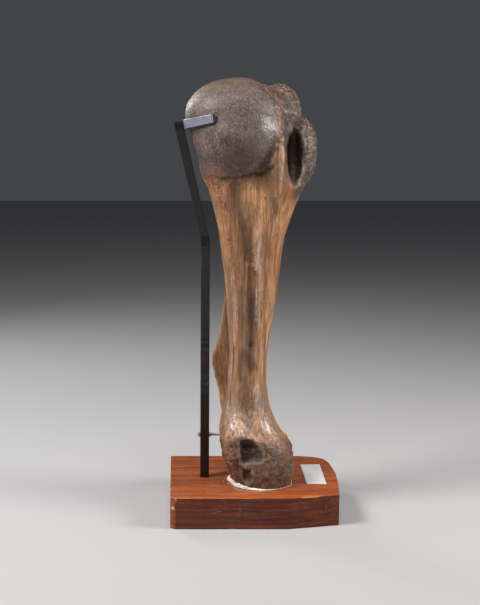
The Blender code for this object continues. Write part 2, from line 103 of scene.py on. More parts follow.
# ---- fields over points -------------------------------------------------------------------


def metres(*points: tuple[float, ...]) -> tuple[tuple[float, ...], ...]:
    """Points in metres, from points in millimetres."""
    return tuple(tuple(part / MILLIMETRES for part in point) for point in points)


def bell(distance: np.ndarray, reach: float) -> np.ndarray:
    """A bell curve: 1 at no distance, about a third at the reach, and 0 far away."""
    return np.exp(-((distance / reach) ** 2))


def ramp(value: np.ndarray, low: float, high: float) -> np.ndarray:
    """A smooth step: 0 at and below the low value, 1 at and above the high one."""
    share = np.clip((value - low) / (high - low), 0.0, 1.0)
    return share * share * (3.0 - 2.0 * share)


def cloud(places: np.ndarray, scale: float | Point, octaves: int, shift: float) -> np.ndarray:
    """Layered noise at many points.

    Args:
        places: points in metres, one a row.
        scale: features per metre, or those along X, Y and Z.
        octaves: how many finer layers are added.
        shift: moves the pattern, so that two clouds differ.

    Returns:
        Numbers around 0, mostly between -1 and 1.
    """
    stretched = places * np.array(scale) + shift
    values = (noise.fractal(Vector(place), 1.0, 2.0, octaves) for place in stretched)
    return np.fromiter(values, float, len(places))


def cells(places: np.ndarray, spacing: Point, shift: float) -> np.ndarray:
    """Distance to the nearest of many scattered dots.

    Args:
        places: points in metres, one a row.
        spacing: distance between dots along X, Y and Z, in metres.
        shift: moves the pattern.

    Returns:
        Distances, where 1 is the spacing.
    """
    stretched = places / np.array(spacing) + shift
    values = (noise.voronoi(Vector(place))[0][0] for place in stretched)
    return np.fromiter(values, float, len(places))


def inside_outline(places: np.ndarray, outline: tuple[Flat, ...]) -> np.ndarray:
    """Signed distance to a closed outline.

    Args:
        places: flat points, one a row.
        outline: corners of the outline, in order.

    Returns:
        Metres from the outline, positive inside it.
    """
    corners = np.array(outline)
    nearest = np.full(len(places), np.inf)
    crossings = np.zeros(len(places), dtype=int)
    for start, end in zip(corners, np.roll(corners, -1, axis=0)):
        run = end - start
        away = places - start
        share = np.clip(away @ run / (run @ run), 0.0, 1.0)
        nearest = np.minimum(nearest, np.linalg.norm(away - share[:, None] * run, axis=1))
        spans = (start[1] > places[:, 1]) != (end[1] > places[:, 1])
        rise = run[1] if abs(run[1]) > 1e-9 else 1e-9
        crossings += spans & (places[:, 0] < start[0] + away[:, 1] / rise * run[0])
    return np.where(crossings % 2 == 1, nearest, -nearest)


@dataclass(frozen=True)
class Stroke:
    """A line over a surface that shapes or tints what is near it.

    Attributes:
        line: points of the line.
        reach: half width in metres.
        rise: how far the surface moves out (+) or in (-), in metres, or strength of the tint.
    """

    line: tuple[Point, ...]
    reach: float
    rise: float

    def nearness(self, places: np.ndarray) -> np.ndarray:
        """How near each point is to the line.

        Args:
            places: points in metres, one a row.

        Returns:
            1 on the line, falling off to 0 beside it.
        """
        best = np.full(len(places), np.inf)
        points = np.array(self.line)
        for start, end in zip(points, points[1:]):
            run = end - start
            share = np.clip((places - start) @ run / (run @ run), 0.0, 1.0)
            best = np.minimum(best, np.linalg.norm(places - start - share[:, None] * run, axis=1))
        return bell(best, self.reach)


def strokes(unit: float, rows: dict[str, tuple]) -> tuple[Stroke, ...]:
    """Strokes from a table in millimetres.

    Args:
        unit: what a rise is divided by: MILLIMETRES where it is a height, 1 for a strength.
        rows: half width, rise and points of each stroke, by what it makes.

    Returns:
        The strokes in order.
    """
    return tuple(
        Stroke(
            metres(*line), reach / MILLIMETRES, rise / unit
        ) for reach, rise, *line in rows.values()
    )


@dataclass(frozen=True)
class Pit:
    """A hollow with a drawn edge, on the side that faces the viewer.

    Attributes:
        outline: its outline, X and Z.
        depth: how deep it is, in metres.
        wall: how far inward its wall reaches.
        stain: how dark it is inside, a painted shade.
    """

    outline: tuple[Flat, ...]
    depth: float
    wall: float
    stain: float

    def share(self, places: np.ndarray) -> np.ndarray:
        """How far down its wall each point is.

        Args:
            places: points in metres, one a row.

        Returns:
            0 outside, 1 on the pit's floor.
        """
        ragged = 0.0022 * cloud(places, 110.0, 3, 6.4)
        inside = inside_outline(places[:, (0, 2)], self.outline) + ragged
        return ramp(inside, -0.0012, self.wall) * ramp(places[:, 1], -0.02, -0.05)


# ---- meshes -------------------------------------------------------------------------------


def new_object(name: str, bm: bmesh.types.BMesh, smooth: bool = True) -> bpy.types.Object:
    """Makes an object at the origin from a bmesh, and frees the bmesh.

    Args:
        name: name of the piece.
        bm: its mesh.
        smooth: whether its faces are shaded smooth.

    Returns:
        The new object.
    """
    mesh = bpy.data.meshes.new(name)
    for face in bm.faces:
        face.smooth = smooth
    bm.to_mesh(mesh)
    bm.free()
    made = bpy.data.objects.new(name, mesh)
    bpy.context.scene.collection.objects.link(made)
    return made


def modify(thing: bpy.types.Object, kind: str, **settings: object) -> None:
    """Gives an object a modifier.

    Args:
        thing: the object.
        kind: the modifier's type.
        settings: its properties.
    """
    modifier = thing.modifiers.new(kind.lower(), kind)
    for name, value in settings.items():
        setattr(modifier, name, value)


def use_up(thing: bpy.types.Object) -> None:
    """Applies the modifiers of an object.

    Args:
        thing: the object, whose mesh is replaced by its evaluated one.
    """
    graph = bpy.context.evaluated_depsgraph_get()
    graph.update()
    made = bpy.data.meshes.new_from_object(thing.evaluated_get(graph))
    old = thing.data
    thing.modifiers.clear()
    thing.data = made
    bpy.data.meshes.remove(old)


def copy_of_node(node: str) -> bmesh.types.BMesh:
    """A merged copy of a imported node's mesh.

    Args:
        node: name of the node.

    Returns:
        A bmesh with the node's doubles merged.
    """
    bm = bmesh.new()
    bm.from_mesh(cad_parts[node].data)
    bmesh.ops.remove_doubles(bm, verts=bm.verts, dist=1e-5)
    return bm


def places_of(thing: bpy.types.Object) -> np.ndarray:
    """Positions of an object's vertices, one a row."""
    flat = np.empty(len(thing.data.vertices) * 3)
    thing.data.vertices.foreach_get("co", flat)
    return flat.reshape(-1, 3)


def normals_of(thing: bpy.types.Object) -> np.ndarray:
    """Normals of an object's vertices, one a row."""
    flat = np.empty(len(thing.data.vertices) * 3)
    thing.data.vertex_normals.foreach_get("vector", flat)
    return flat.reshape(-1, 3)


def move_to(thing: bpy.types.Object, places: np.ndarray) -> None:
    """Puts an object's vertices at new positions, one a row."""
    thing.data.vertices.foreach_set("co", places.astype(np.float32).ravel())
    thing.data.update()


def lay_down(thing: bpy.types.Object, layer: Layer, values: np.ndarray) -> None:
    """Stores a value at each vertex for a finish to read.

    Args:
        thing: the object.
        layer: which attribute.
        values: one number a vertex, or three.
    """
    kind, name = ("FLOAT", "value") if values.ndim == 1 else ("FLOAT_VECTOR", "vector")
    made = thing.data.attributes.new(layer.value, kind, "POINT")
    made.data.foreach_set(name, values.astype(np.float32).ravel())


def lay_bulge(thing: bpy.types.Object, rounds: int, full: float) -> None:
    """Stores how far each vertex stands out from its surroundings, negative in hollows.

    Args:
        thing: the object.
        rounds: how many times the neighbours are averaged.
        full: metres that count as 1.
    """
    pairs = np.empty(len(thing.data.edges) * 2, dtype=np.int32)
    thing.data.edges.foreach_get("vertices", pairs)
    first, second = pairs.reshape(-1, 2).T
    places = places_of(thing)
    ties = np.bincount(pairs, minlength=len(places))[:, None]
    mean = places.copy()
    for _ in range(rounds):
        total = np.zeros_like(mean)
        np.add.at(total, first, mean[second])
        np.add.at(total, second, mean[first])
        mean = total / np.maximum(ties, 1)
    bulge = ((places - mean) * normals_of(thing)).sum(axis=1)
    lay_down(thing, Layer.BULGE, np.clip(bulge / full, -1.0, 1.0))


def only(kind: type, geometry: list) -> list:
    """The vertices or the faces among what an operator made."""
    return [element for element in geometry if isinstance(element, kind)]


def flats(bm: bmesh.types.BMesh, axis: Axis, area: float) -> list[bmesh.types.BMFace]:
    """Faces larger than an area that lie square to an axis."""
    lying = [face for face in bm.faces if abs(face.normal.dot(Vector(axis.value))) > 0.99]
    return [face for face in lying if face.calc_area() > area]


def ease(
    bm: bmesh.types.BMesh,
    geometry: list,
    offset: float,
    segments: int,
    affect: str = "EDGES",
    **settings: bool,
) -> None:
    """Rounds edges or corners.

    Args:
        bm: the mesh.
        geometry: the edges or corners.
        offset: how far the rounding reaches.
        segments: number of its steps.
        affect: EDGES or VERTICES.
        settings: other settings of the operator.
    """
    settings |= {"offset_type": "OFFSET", "affect": affect}
    bmesh.ops.bevel(
        bm, geom=geometry, offset=offset, segments=segments, profile=0.5, material=-1, **settings
    )


def ease_ends(bm: bmesh.types.BMesh, area: float, offset: float) -> None:
    """Rounds the rims of the end faces of a swept piece.

    Args:
        bm: the mesh.
        area: area that only the end faces exceed.
        offset: how far the rounding reaches.
    """
    ends = [face for face in bm.faces if face.calc_area() > area]
    ease(bm, list({edge for face in ends for edge in face.edges}), offset, 2)


def spin(
    bm: bmesh.types.BMesh,
    faces: list[bmesh.types.BMFace],
    centre: Point,
    axis: Point,
    angle: float,
    steps: int,
    climb: Point = (0.0, 0.0, 0.0),
) -> list[bmesh.types.BMFace]:
    """Sweeps faces round an axis.

    Args:
        bm: the mesh.
        faces: the faces.
        centre: a point on the axis.
        axis: its direction.
        angle: how far they turn in all.
        steps: number of steps.
        climb: how far each step shifts.

    Returns:
        The faces at the far end.
    """
    sweep = {"cent": centre, "axis": axis, "dvec": climb, "angle": angle, "steps": steps}
    made = bmesh.ops.spin(bm, geom=faces, use_duplicate=False, **sweep)
    return only(bmesh.types.BMFace, made["geom_last"])


def leaning(angle: float) -> Vector:
    """The upright direction tipped to the left."""
    return Vector((-math.sin(angle), 0.0, math.cos(angle)))


def put_on(
    piece: bpy.types.Object, slot: Slot, finish: bpy.types.Material, *nodes: str
) -> bpy.types.Object:
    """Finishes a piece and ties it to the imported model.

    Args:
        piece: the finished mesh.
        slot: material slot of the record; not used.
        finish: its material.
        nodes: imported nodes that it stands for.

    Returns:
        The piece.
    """
    piece.data.materials.clear()
    piece.data.materials.append(finish)
    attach(piece, BODY)
    if nodes:
        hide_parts(*nodes)
    return piece


# ---- nodes --------------------------------------------------------------------------------

Feed = bpy.types.NodeSocket | float | Point
Sockets = dict[str, bpy.types.NodeSocket]


def by_name(sockets: bpy.types.bpy_prop_collection) -> Sockets:
    """A node's sockets by their names."""
    return {socket.name: socket for socket in sockets if socket.name}


class Graph:
    """Adds and joins the nodes of one material or node group."""

    def __init__(self, tree: bpy.types.NodeTree) -> None:
        """Works on a node tree.

        Args:
            tree: the tree of a material or group.
        """
        self.tree = tree

    def add(self, kind: str, **settings: object) -> bpy.types.Node:
        """Adds a node.

        Args:
            kind: the node's type.
            settings: properties of the node.

        Returns:
            The node.
        """
        node = self.tree.nodes.new(kind)
        for name, value in settings.items():
            setattr(node, name, value)
        return node

    def feed(self, socket: bpy.types.NodeSocket, value: Feed) -> None:
        """Joins a socket to an output, or sets it to a constant.

        Args:
            socket: input socket.
            value: output socket, number, vector or colour.
        """
        if isinstance(value, bpy.types.NodeSocket):
            self.tree.links.new(value, socket)
        elif socket.type == "RGBA":
            socket.default_value = (*value, 1.0)
        else:
            socket.default_value = value

    def fill(self, node: bpy.types.Node, **values: Feed) -> bpy.types.Node:
        """Feeds several inputs of a node.

        Args:
            node: the node.
            values: what its inputs get, with _ for a space in a name.

        Returns:
            The node.
        """
        for name, value in values.items():
            self.feed(node.inputs[name.replace("_", " ")], value)
        return node

    def maths(
        self, operation: str, first: Feed, second: Feed, clamp: bool = False
    ) -> bpy.types.NodeSocket:
        """One sum of two numbers.

        Args:
            operation: name of the operation.
            first: first number.
            second: second number.
            clamp: whether the result is kept from 0 to 1.

        Returns:
            The result's socket.
        """
        node = self.add("ShaderNodeMath", operation=operation, use_clamp=clamp)
        self.feed(node.inputs[0], first)
        self.feed(node.inputs[1], second)
        return node.outputs[0]

    def product(self, *factors: Feed) -> bpy.types.NodeSocket:
        """All factors multiplied together."""
        result = factors[0]
        for factor in factors[1:]:
            result = self.maths("MULTIPLY", result, factor)
        return result

    def total(self, *terms: Feed) -> bpy.types.NodeSocket:
        """All terms added up."""
        result = terms[0]
        for term in terms[1:]:
            result = self.maths("ADD", result, term)
        return result

    def step(
        self, value: Feed, low: Feed, high: Feed, to_low: Feed = 0.0, to_high: Feed = 1.0
    ) -> bpy.types.NodeSocket:
        """A smooth step of a number.

        Args:
            value: the number.
            low: where the step starts.
            high: where it ends.
            to_low: result at the start.
            to_high: result at the end.

        Returns:
            The result's socket.
        """
        node = self.add("ShaderNodeMapRange", interpolation_type="SMOOTHSTEP")
        self.fill(node, Value=value, From_Min=low, From_Max=high, To_Min=to_low, To_Max=to_high)
        return node.outputs["Result"]

    def blend(self, share: Feed, under: Feed, over: Feed) -> bpy.types.NodeSocket:
        """Lays one colour over another.

        Args:
            share: how much of the upper colour shows.
            under: lower colour.
            over: upper colour.

        Returns:
            The mixed colour's socket.
        """
        node = self.add("ShaderNodeMix", data_type="RGBA")
        for number, value in ((0, share), (6, under), (7, over)):
            self.feed(node.inputs[number], value)
        return node.outputs[2]

    def coats(self, colour: Feed, *layers: tuple[Feed, Feed]) -> bpy.types.NodeSocket:
        """Lays several colours over one another.

        Args:
            colour: lowest colour.
            layers: how much of each further colour shows, and that colour, from below.

        Returns:
            The mixed colour's socket.
        """
        for share, over in layers:
            colour = self.blend(share, colour, over)
        return colour

    def here(self) -> bpy.types.NodeSocket:
        """Coordinates in the frame."""
        return self.add("ShaderNodeTexCoord").outputs["Object"]

    def facing(self) -> Sockets:
        """Direction that the surface faces, by X, Y and Z."""
        normal = self.add("ShaderNodeNewGeometry").outputs["Normal"]
        return by_name(self.fill(self.add("ShaderNodeSeparateXYZ"), Vector=normal).outputs)

    def stretch(
        self, scale: Feed = (1.0, 1.0, 1.0), place: Feed | None = None
    ) -> bpy.types.NodeSocket:
        """Coordinates stretched along the axes.

        Args:
            scale: features per metre along X, Y and Z.
            place: coordinates, or None for those in the frame.

        Returns:
            The stretched coordinates' socket.
        """
        node = self.add("ShaderNodeVectorMath", operation="MULTIPLY")
        self.feed(node.inputs[0], self.here() if place is None else place)
        self.feed(node.inputs[1], scale)
        return node.outputs[0]

    def noise(
        self,
        place: Feed,
        scale: Feed,
        detail: float,
        roughness: float = 0.55,
        twist: Feed = 0.0,
    ) -> bpy.types.NodeSocket:
        """Layered noise from 0 to 1.

        Args:
            place: coordinates.
            scale: features per unit.
            detail: number of finer layers.
            roughness: strength of the finer layers.
            twist: how far the pattern is distorted.

        Returns:
            The noise's socket.
        """
        node = self.add("ShaderNodeTexNoise")
        self.fill(node, Vector=place, Scale=scale, Detail=detail, Roughness=roughness)
        self.feed(node.inputs["Distortion"], twist)
        return node.outputs[0]

    def dots(self, place: Feed, scale: Feed) -> bpy.types.NodeSocket:
        """Distance to dots scattered over the coordinates, so many per unit."""
        node = self.fill(self.add("ShaderNodeTexVoronoi"), Vector=place, Scale=scale)
        return node.outputs["Distance"]

    def layer(self, layer: Layer) -> bpy.types.NodeSocket:
        """Value that a mesh carries at each vertex."""
        return self.add("ShaderNodeAttribute", attribute_name=layer.value).outputs["Fac"]

    def vector_layer(self, layer: Layer) -> bpy.types.NodeSocket:
        """Vector that a mesh carries at each vertex."""
        return self.add("ShaderNodeAttribute", attribute_name=layer.value).outputs["Vector"]

    def near(self, place: Point, low: float, high: float) -> bpy.types.NodeSocket:
        """A soft spot round a point.

        Args:
            place: the point in the frame.
            low: radius within which the result is 1.
            high: radius beyond which it is 0.

        Returns:
            The spot's socket.
        """
        node = self.add("ShaderNodeVectorMath", operation="DISTANCE")
        self.feed(node.inputs[0], self.here())
        self.feed(node.inputs[1], place)
        return self.step(node.outputs["Value"], high, low)

    def bump(self, height: Feed, distance: float) -> bpy.types.NodeSocket:
        """A normal bent by a height.

        Args:
            height: height from 0 to 1.
            distance: what 1 stands for, in metres.

        Returns:
            The normal's socket.
        """
        node = self.add("ShaderNodeBump")
        self.fill(node, Height=height, Distance=distance, Strength=1.0)
        return node.outputs["Normal"]

    def effect(self, tree: bpy.types.NodeTree, **inputs: Feed) -> Sockets:
        """Places a shared effect.

        Args:
            tree: the effect's group.
            inputs: values of its inputs.

        Returns:
            Its outputs by name.
        """
        return by_name(self.fill(self.add("ShaderNodeGroup", node_tree=tree), **inputs).outputs)


class Effects:
    """Shader effects that several finishes share, each built once."""

    def __init__(self) -> None:
        """Builds every shared effect."""
        self.grain = self._grain()
        self.mottle = self._mottle()
        self.pores = self._pores()
        self.wear = self._wear()
        self.dust = self._dust()
        self.scratches = self._scratches()

    @staticmethod
    def _begin(name: str, *outputs: str, **inputs: Feed) -> tuple[Graph, Sockets, Sockets]:
        """Starts a group with its sockets.

        Args:
            name: name of the effect.
            outputs: names of its outputs, each a value.
            inputs: defaults of its inputs, each a value or a vector.

        Returns:
            The graph, the group's inputs by name, and the sockets that its outputs are fed through.
        """
        tree = bpy.data.node_groups.new(name, "ShaderNodeTree")
        for given, value in inputs.items():
            kind = "NodeSocketVector" if isinstance(value, tuple) else "NodeSocketFloat"
            made = tree.interface.new_socket(given, in_out="INPUT", socket_type=kind)
            made.default_value = value
        for output in outputs:
            tree.interface.new_socket(output, in_out="OUTPUT", socket_type="NodeSocketFloat")
        graph = Graph(tree)
        entry, leave = graph.add("NodeGroupInput"), graph.add("NodeGroupOutput")
        return graph, by_name(entry.outputs), by_name(leave.inputs)

    def _grain(self) -> bpy.types.NodeTree:
        """Long streaks, as in wood and in the wall of a bone."""
        graph, given, wanted = self._begin(
            "long grain", "Streaks", "Fine streaks", Stretch=(60.0, 60.0, 6.0), Wander=0.6
        )
        place = graph.stretch(given["Stretch"])
        broad = graph.noise(place, 1.0, 5.0, 0.5, given["Wander"])
        graph.feed(wanted["Streaks"], graph.step(broad, 0.33, 0.67))
        fine = graph.noise(graph.stretch((4.3, 4.3, 4.3), place), 1.0, 3.0, 0.6)
        graph.feed(wanted["Fine streaks"], graph.step(fine, 0.35, 0.65))
        return graph.tree

    def _mottle(self) -> bpy.types.NodeTree:
        """Irregular patches."""
        graph, given, wanted = self._begin(
            "mottle", "Patches", "Cloud", Scale=40.0, Cover=0.5, Softness=0.12
        )
        place = graph.stretch()
        cloudy = graph.noise(place, given["Scale"], 6.0, 0.62, 0.25)
        middle = graph.maths("SUBTRACT", 1.0, given["Cover"])
        low = graph.maths("SUBTRACT", middle, given["Softness"])
        high = graph.maths("ADD", middle, given["Softness"])
        graph.feed(wanted["Patches"], graph.step(cloudy, low, high))
        graph.feed(wanted["Cloud"], cloudy)
        return graph.tree

    def _pores(self) -> bpy.types.NodeTree:
        """Small round holes of uneven size."""
        graph, given, wanted = self._begin("pores", "Holes", Scale=300.0, Amount=0.5)
        place = graph.stretch((1.0, 1.0, 0.8))
        gap = graph.dots(place, given["Scale"])
        uneven = graph.noise(place, graph.maths("MULTIPLY", given["Scale"], 0.45), 2.0)
        size = graph.product(given["Amount"], graph.step(uneven, 0.35, 0.7), 0.62)
        graph.feed(
            wanted["Holes"],
            graph.step(gap, graph.maths("ADD", size, 0.001), graph.product(size, 0.55)),
        )
        return graph.tree

    def _wear(self) -> bpy.types.NodeTree:
        """Broken rubbing along edges."""
        graph, given, wanted = self._begin("edge wear", "Rubbed", Edge=0.0, Amount=0.5, Scale=150.0)
        place = graph.stretch()
        broken = graph.noise(place, given["Scale"], 5.0, 0.65)
        patches = graph.noise(place, graph.maths("MULTIPLY", given["Scale"], 0.12), 2.0)
        level = graph.total(
            graph.product(given["Edge"], 0.62),
            graph.product(broken, 0.55),
            graph.product(patches, 0.45),
        )
        start = graph.maths("SUBTRACT", 1.36, graph.product(given["Amount"], 0.4))
        graph.feed(wanted["Rubbed"], graph.step(level, start, graph.maths("ADD", start, 0.1)))
        return graph.tree

    def _dust(self) -> bpy.types.NodeTree:
        """A thin film on what faces up."""
        graph, given, wanted = self._begin("settled dust", "Film", Amount=0.3, Scale=120.0)
        upward = graph.step(graph.facing()["Z"], 0.35, 0.98)
        place = graph.stretch()
        grains = graph.step(graph.noise(place, given["Scale"], 6.0, 0.7), 0.38, 0.66)
        drifts = graph.step(
            graph.noise(place, graph.maths("MULTIPLY", given["Scale"], 0.07), 3.0), 0.3, 0.75
        )
        graph.feed(wanted["Film"], graph.product(upward, grains, drifts, given["Amount"]))
        return graph.tree

    def _scratches(self) -> bpy.types.NodeTree:
        """Short fine lines that run mostly one way."""
        inputs = {"Place": (0.0, 0.0, 0.0), "Stretch": (20.0, 300.0, 300.0), "Amount": 0.3}
        graph, given, wanted = self._begin("fine scratches", "Lines", **inputs)
        place = graph.stretch(given["Stretch"], given["Place"])
        lines = graph.noise(place, 1.0, 1.0, 0.4)
        patches = graph.noise(graph.stretch((28.0, 28.0, 28.0), given["Place"]), 1.0, 2.0)
        start = graph.maths(
            "SUBTRACT", 0.78, graph.product(given["Amount"], graph.step(patches, 0.4, 0.7), 0.3)
        )
        graph.feed(wanted["Lines"], graph.step(lines, start, graph.maths("ADD", start, 0.03)))
        return graph.tree


# ---- finishes -----------------------------------------------------------------------------


@dataclass(frozen=True)
class Finish:
    """What every finish has.

    Attributes:
        name: name of the material.
    """

    name: str

    def begin(self) -> tuple[bpy.types.Material, Graph, bpy.types.Node]:
        """Starts a material.

        Returns:
            The material, its graph and its shader node.
        """
        made = bpy.data.materials.new(self.name)
        made.use_nodes = True
        return made, Graph(made.node_tree), made.node_tree.nodes["Principled BSDF"]


@dataclass(frozen=True)
class FossilBone(Finish):
    """Old bone: mottled grey joint skin, fibrous honey shaft, rough dark elbow end.

    Attributes:
        ochre, honey, umber: colours of the shaft.
        plum_stain_and_shade: stain in the long furrow, and painted shade in the grooves, pits,
            crack and holes.
        worn: rubbed ridges and pale specks; where the rubbed strokes lie above the elbow, on the
            crests and on the ball it is a painted highlight.
        bright: painted highlight, near white, on the glossy rubbed ridges.
        cap_dark, cap_light, cap_plum, cap_tan: joint skin of the ball.
        lobe_dark, lobe_light: skin of the tubercles.
        foot_dark, foot_light, foot_red: broken elbow end.
        bare: pale inside of small holes and chips.
        earth_and_shade: dark brown stain, and painted shade under the ball and in the grooves and
            hollows.
        rust: reddish stain.
        strand: light fibres of the shaft.
        bruise: brown patches of the shaft.
        deep: painted shade at the bottoms of hollows.
        settled: dust.
    """

    ochre: Colour = (0.250, 0.082, 0.022)
    honey: Colour = (0.70, 0.345, 0.132)
    umber: Colour = (0.100, 0.038, 0.014)
    plum_stain_and_shade: Colour = (0.028, 0.013, 0.011)
    worn: Colour = (0.60, 0.47, 0.40)
    bright: Colour = (0.72, 0.60, 0.55)
    cap_dark: Colour = (0.030, 0.017, 0.013)
    cap_light: Colour = (0.115, 0.073, 0.062)
    cap_plum: Colour = (0.030, 0.018, 0.020)
    cap_tan: Colour = (0.150, 0.088, 0.058)
    lobe_dark: Colour = (0.014, 0.007, 0.004)
    lobe_light: Colour = (0.118, 0.072, 0.052)
    foot_dark: Colour = (0.050, 0.023, 0.011)
    foot_light: Colour = (0.125, 0.058, 0.026)
    foot_red: Colour = (0.165, 0.055, 0.020)
    bare: Colour = (0.42, 0.29, 0.19)
    earth_and_shade: Colour = (0.062, 0.031, 0.012)
    rust: Colour = (0.290, 0.088, 0.026)
    strand: Colour = (0.78, 0.48, 0.27)
    bruise: Colour = (0.20, 0.105, 0.042)
    deep: Colour = (0.05, 0.022, 0.010)
    settled: Colour = (0.42, 0.37, 0.33)

    def shaft(
        self, graph: Graph, effects: Effects
    ) -> tuple[bpy.types.NodeSocket, bpy.types.NodeSocket]:
        """Colour and fibre pattern of the shaft.

        Args:
            graph: the material's graph.
            effects: the shared effects.

        Returns:
            The colour and the height of the fibres.
        """
        fibre = graph.effect(effects.grain, Stretch=(230.0, 230.0, 14.0), Wander=0.30)
        broad = graph.effect(effects.grain, Stretch=(52.0, 52.0, 4.2), Wander=0.7)
        patches = graph.effect(effects.mottle, Scale=17.0, Cover=0.46, Softness=0.14)
        specks = graph.effect(effects.mottle, Scale=330.0, Cover=0.50, Softness=0.08)
        colour = graph.blend(broad["Streaks"], self.ochre, self.honey)
        light = graph.product(fibre["Streaks"], graph.step(specks["Cloud"], 0.38, 0.62), 0.50)
        colour = graph.blend(light, colour, self.strand)
        strands = graph.effect(effects.grain, Stretch=(115.0, 115.0, 8.0), Wander=0.5)
        colour = graph.blend(graph.product(strands["Streaks"], 0.50), colour, self.umber)
        dark = graph.product(
            fibre["Fine streaks"], graph.step(broad["Fine streaks"], 0.05, 0.8), 0.66
        )
        colour = graph.coats(
            colour,
            (dark, self.umber),
            (graph.product(patches["Patches"], 0.42), self.bruise),
        )
        broken = graph.effect(effects.mottle, Scale=75.0, Cover=0.50, Softness=0.10)
        grit = graph.total(
            graph.product(fibre["Streaks"], 0.45), graph.product(specks["Cloud"], 0.55)
        )
        # Rubbed pale bone, which above the elbow, on the crests and on the ball is a painted
        # highlight.
        rubbed = graph.product(graph.layer(Layer.WORN_AND_HIGHLIGHT), graph.step(grit, 0.36, 0.62))
        colour = graph.blend(
            graph.product(rubbed, graph.step(broken["Patches"], 0.0, 1.0, 0.35, 1.0)),
            colour,
            self.worn,
        )
        # Painted highlight: near-white colour where the glossy and rubbed layers meet, broken up by
        # the fibres.
        shine = graph.step(
            graph.total(graph.product(fibre["Streaks"], 0.6), graph.product(specks["Cloud"], 0.4)),
            0.25,
            0.75,
        )
        bright = graph.product(graph.layer(Layer.GLOSS), graph.layer(Layer.WORN_AND_HIGHLIGHT), shine, 0.66)
        colour = graph.blend(bright, colour, self.bright)
        height = graph.total(
            graph.product(strands["Streaks"], -0.50),
            graph.product(fibre["Streaks"], 0.55),
            graph.product(fibre["Fine streaks"], 0.35),
            graph.product(specks["Cloud"], 0.45),
        )
        return colour, height

    def build(self, effects: Effects) -> bpy.types.Material:
        """Builds the material.

        Args:
            effects: the shared effects.

        Returns:
            The material.
        """
        made, graph, shader = self.begin()
        place = graph.stretch()
        ragged = graph.maths("SUBTRACT", graph.noise(place, 95.0, 6.0, 0.65), 0.5)
        cap = graph.step(
            graph.total(graph.layer(Layer.CAP), graph.product(ragged, 0.020)), -0.0018, 0.0024
        )
        lobe = graph.step(
            graph.total(graph.layer(Layer.LOBE), graph.product(ragged, 0.030)), -0.006, 0.006
        )
        foot = graph.step(
            graph.total(graph.layer(Layer.FOOT), graph.product(ragged, 0.050)), -0.010, 0.012
        )

        shaft, fibres = self.shaft(graph, effects)
        skin = graph.effect(effects.mottle, Scale=46.0, Cover=0.48, Softness=0.14)
        fine = graph.effect(effects.mottle, Scale=430.0, Cover=0.48, Softness=0.12)
        specks = graph.effect(effects.mottle, Scale=240.0, Cover=0.42, Softness=0.11)
        wide = graph.effect(effects.mottle, Scale=15.0, Cover=0.50, Softness=0.07)
        tan = graph.effect(effects.mottle, Scale=24.0, Cover=0.42, Softness=0.10)
        ball = graph.coats(
            self.cap_dark,
            (skin["Patches"], self.cap_light),
            (graph.product(tan["Patches"], 0.55), self.cap_tan),
            (graph.product(wide["Patches"], 0.78), self.cap_plum),
            (graph.product(specks["Patches"], 0.22), self.worn),
            (graph.product(fine["Patches"], 0.13), self.worn),
        )
        knob = graph.coats(
            self.lobe_dark,
            (skin["Patches"], self.lobe_light),
            (graph.product(specks["Patches"], 0.30), self.worn),
            (graph.product(wide["Patches"], 0.5), self.lobe_dark),
        )
        end = graph.coats(
            self.foot_dark,
            (skin["Patches"], self.foot_light),
            (graph.product(wide["Patches"], 0.45), self.foot_red),
            (
                graph.product(specks["Patches"], graph.step(wide["Cloud"], 0.35, 0.6, 0.22, 0.10)),
                self.worn,
            ),
            (graph.product(graph.layer(Layer.WORN_AND_HIGHLIGHT), specks["Patches"], 0.8), self.worn),
        )

        colour = graph.coats(
            shaft,
            (lobe, knob),
            (cap, ball),
            (foot, end),
        )
        cloudy = graph.step(skin["Cloud"], 0.25, 0.6, 0.55, 1.0)
        # Rusty tint, then brown stain with painted shade under the ball, in the biceps groove and
        # in the elbow hollow.
        colour = graph.coats(
            colour,
            (graph.product(graph.layer(Layer.WARM), cloudy), self.rust),
            (graph.product(graph.layer(Layer.SHADE), cloudy), self.earth_and_shade),
        )
        # Dark stain with painted shade in the furrow, the biceps groove, the crack and the pits.
        stain = graph.product(
            graph.layer(Layer.FURROW), graph.step(fine["Cloud"], 0.2, 0.6, 0.6, 1.0)
        )
        colour = graph.blend(graph.maths("MINIMUM", stain, 0.95), colour, self.plum_stain_and_shade)

        crust = graph.maths("MAXIMUM", graph.maths("MAXIMUM", cap, lobe), foot)
        spongy = graph.layer(Layer.SPONGY)
        holes = graph.effect(
            effects.pores, Scale=330.0, Amount=graph.step(spongy, 0.1, 0.9, 0.0, 1.15)
        )
        pinholes = graph.effect(
            effects.pores, Scale=760.0, Amount=graph.step(crust, 0.0, 1.0, 0.28, 0.52)
        )
        colour = graph.coats(
            colour,
            (graph.product(spongy, specks["Patches"], 0.45), self.bare),
            (graph.product(holes["Holes"], 0.88), self.plum_stain_and_shade),
            (graph.product(pinholes["Holes"], 0.55), self.umber),
        )
        bulge = graph.layer(Layer.BULGE)
        # Painted shade where the surface sinks; lighter where it bulges, rubbed wear with painted
        # highlight.
        colour = graph.coats(
            colour,
            (graph.step(bulge, 0.0, -1.0, 0.0, 0.62), self.deep),
            (
                graph.product(graph.step(bulge, 0.15, 1.0), graph.step(foot, 0.0, 1.0, 0.28, 0.12)),
                self.worn,
            ),
        )
        film = graph.effect(effects.dust, Amount=0.10, Scale=240.0)
        colour = graph.blend(film["Film"], colour, self.settled)
        graph.feed(shader.inputs["Base Color"], colour)

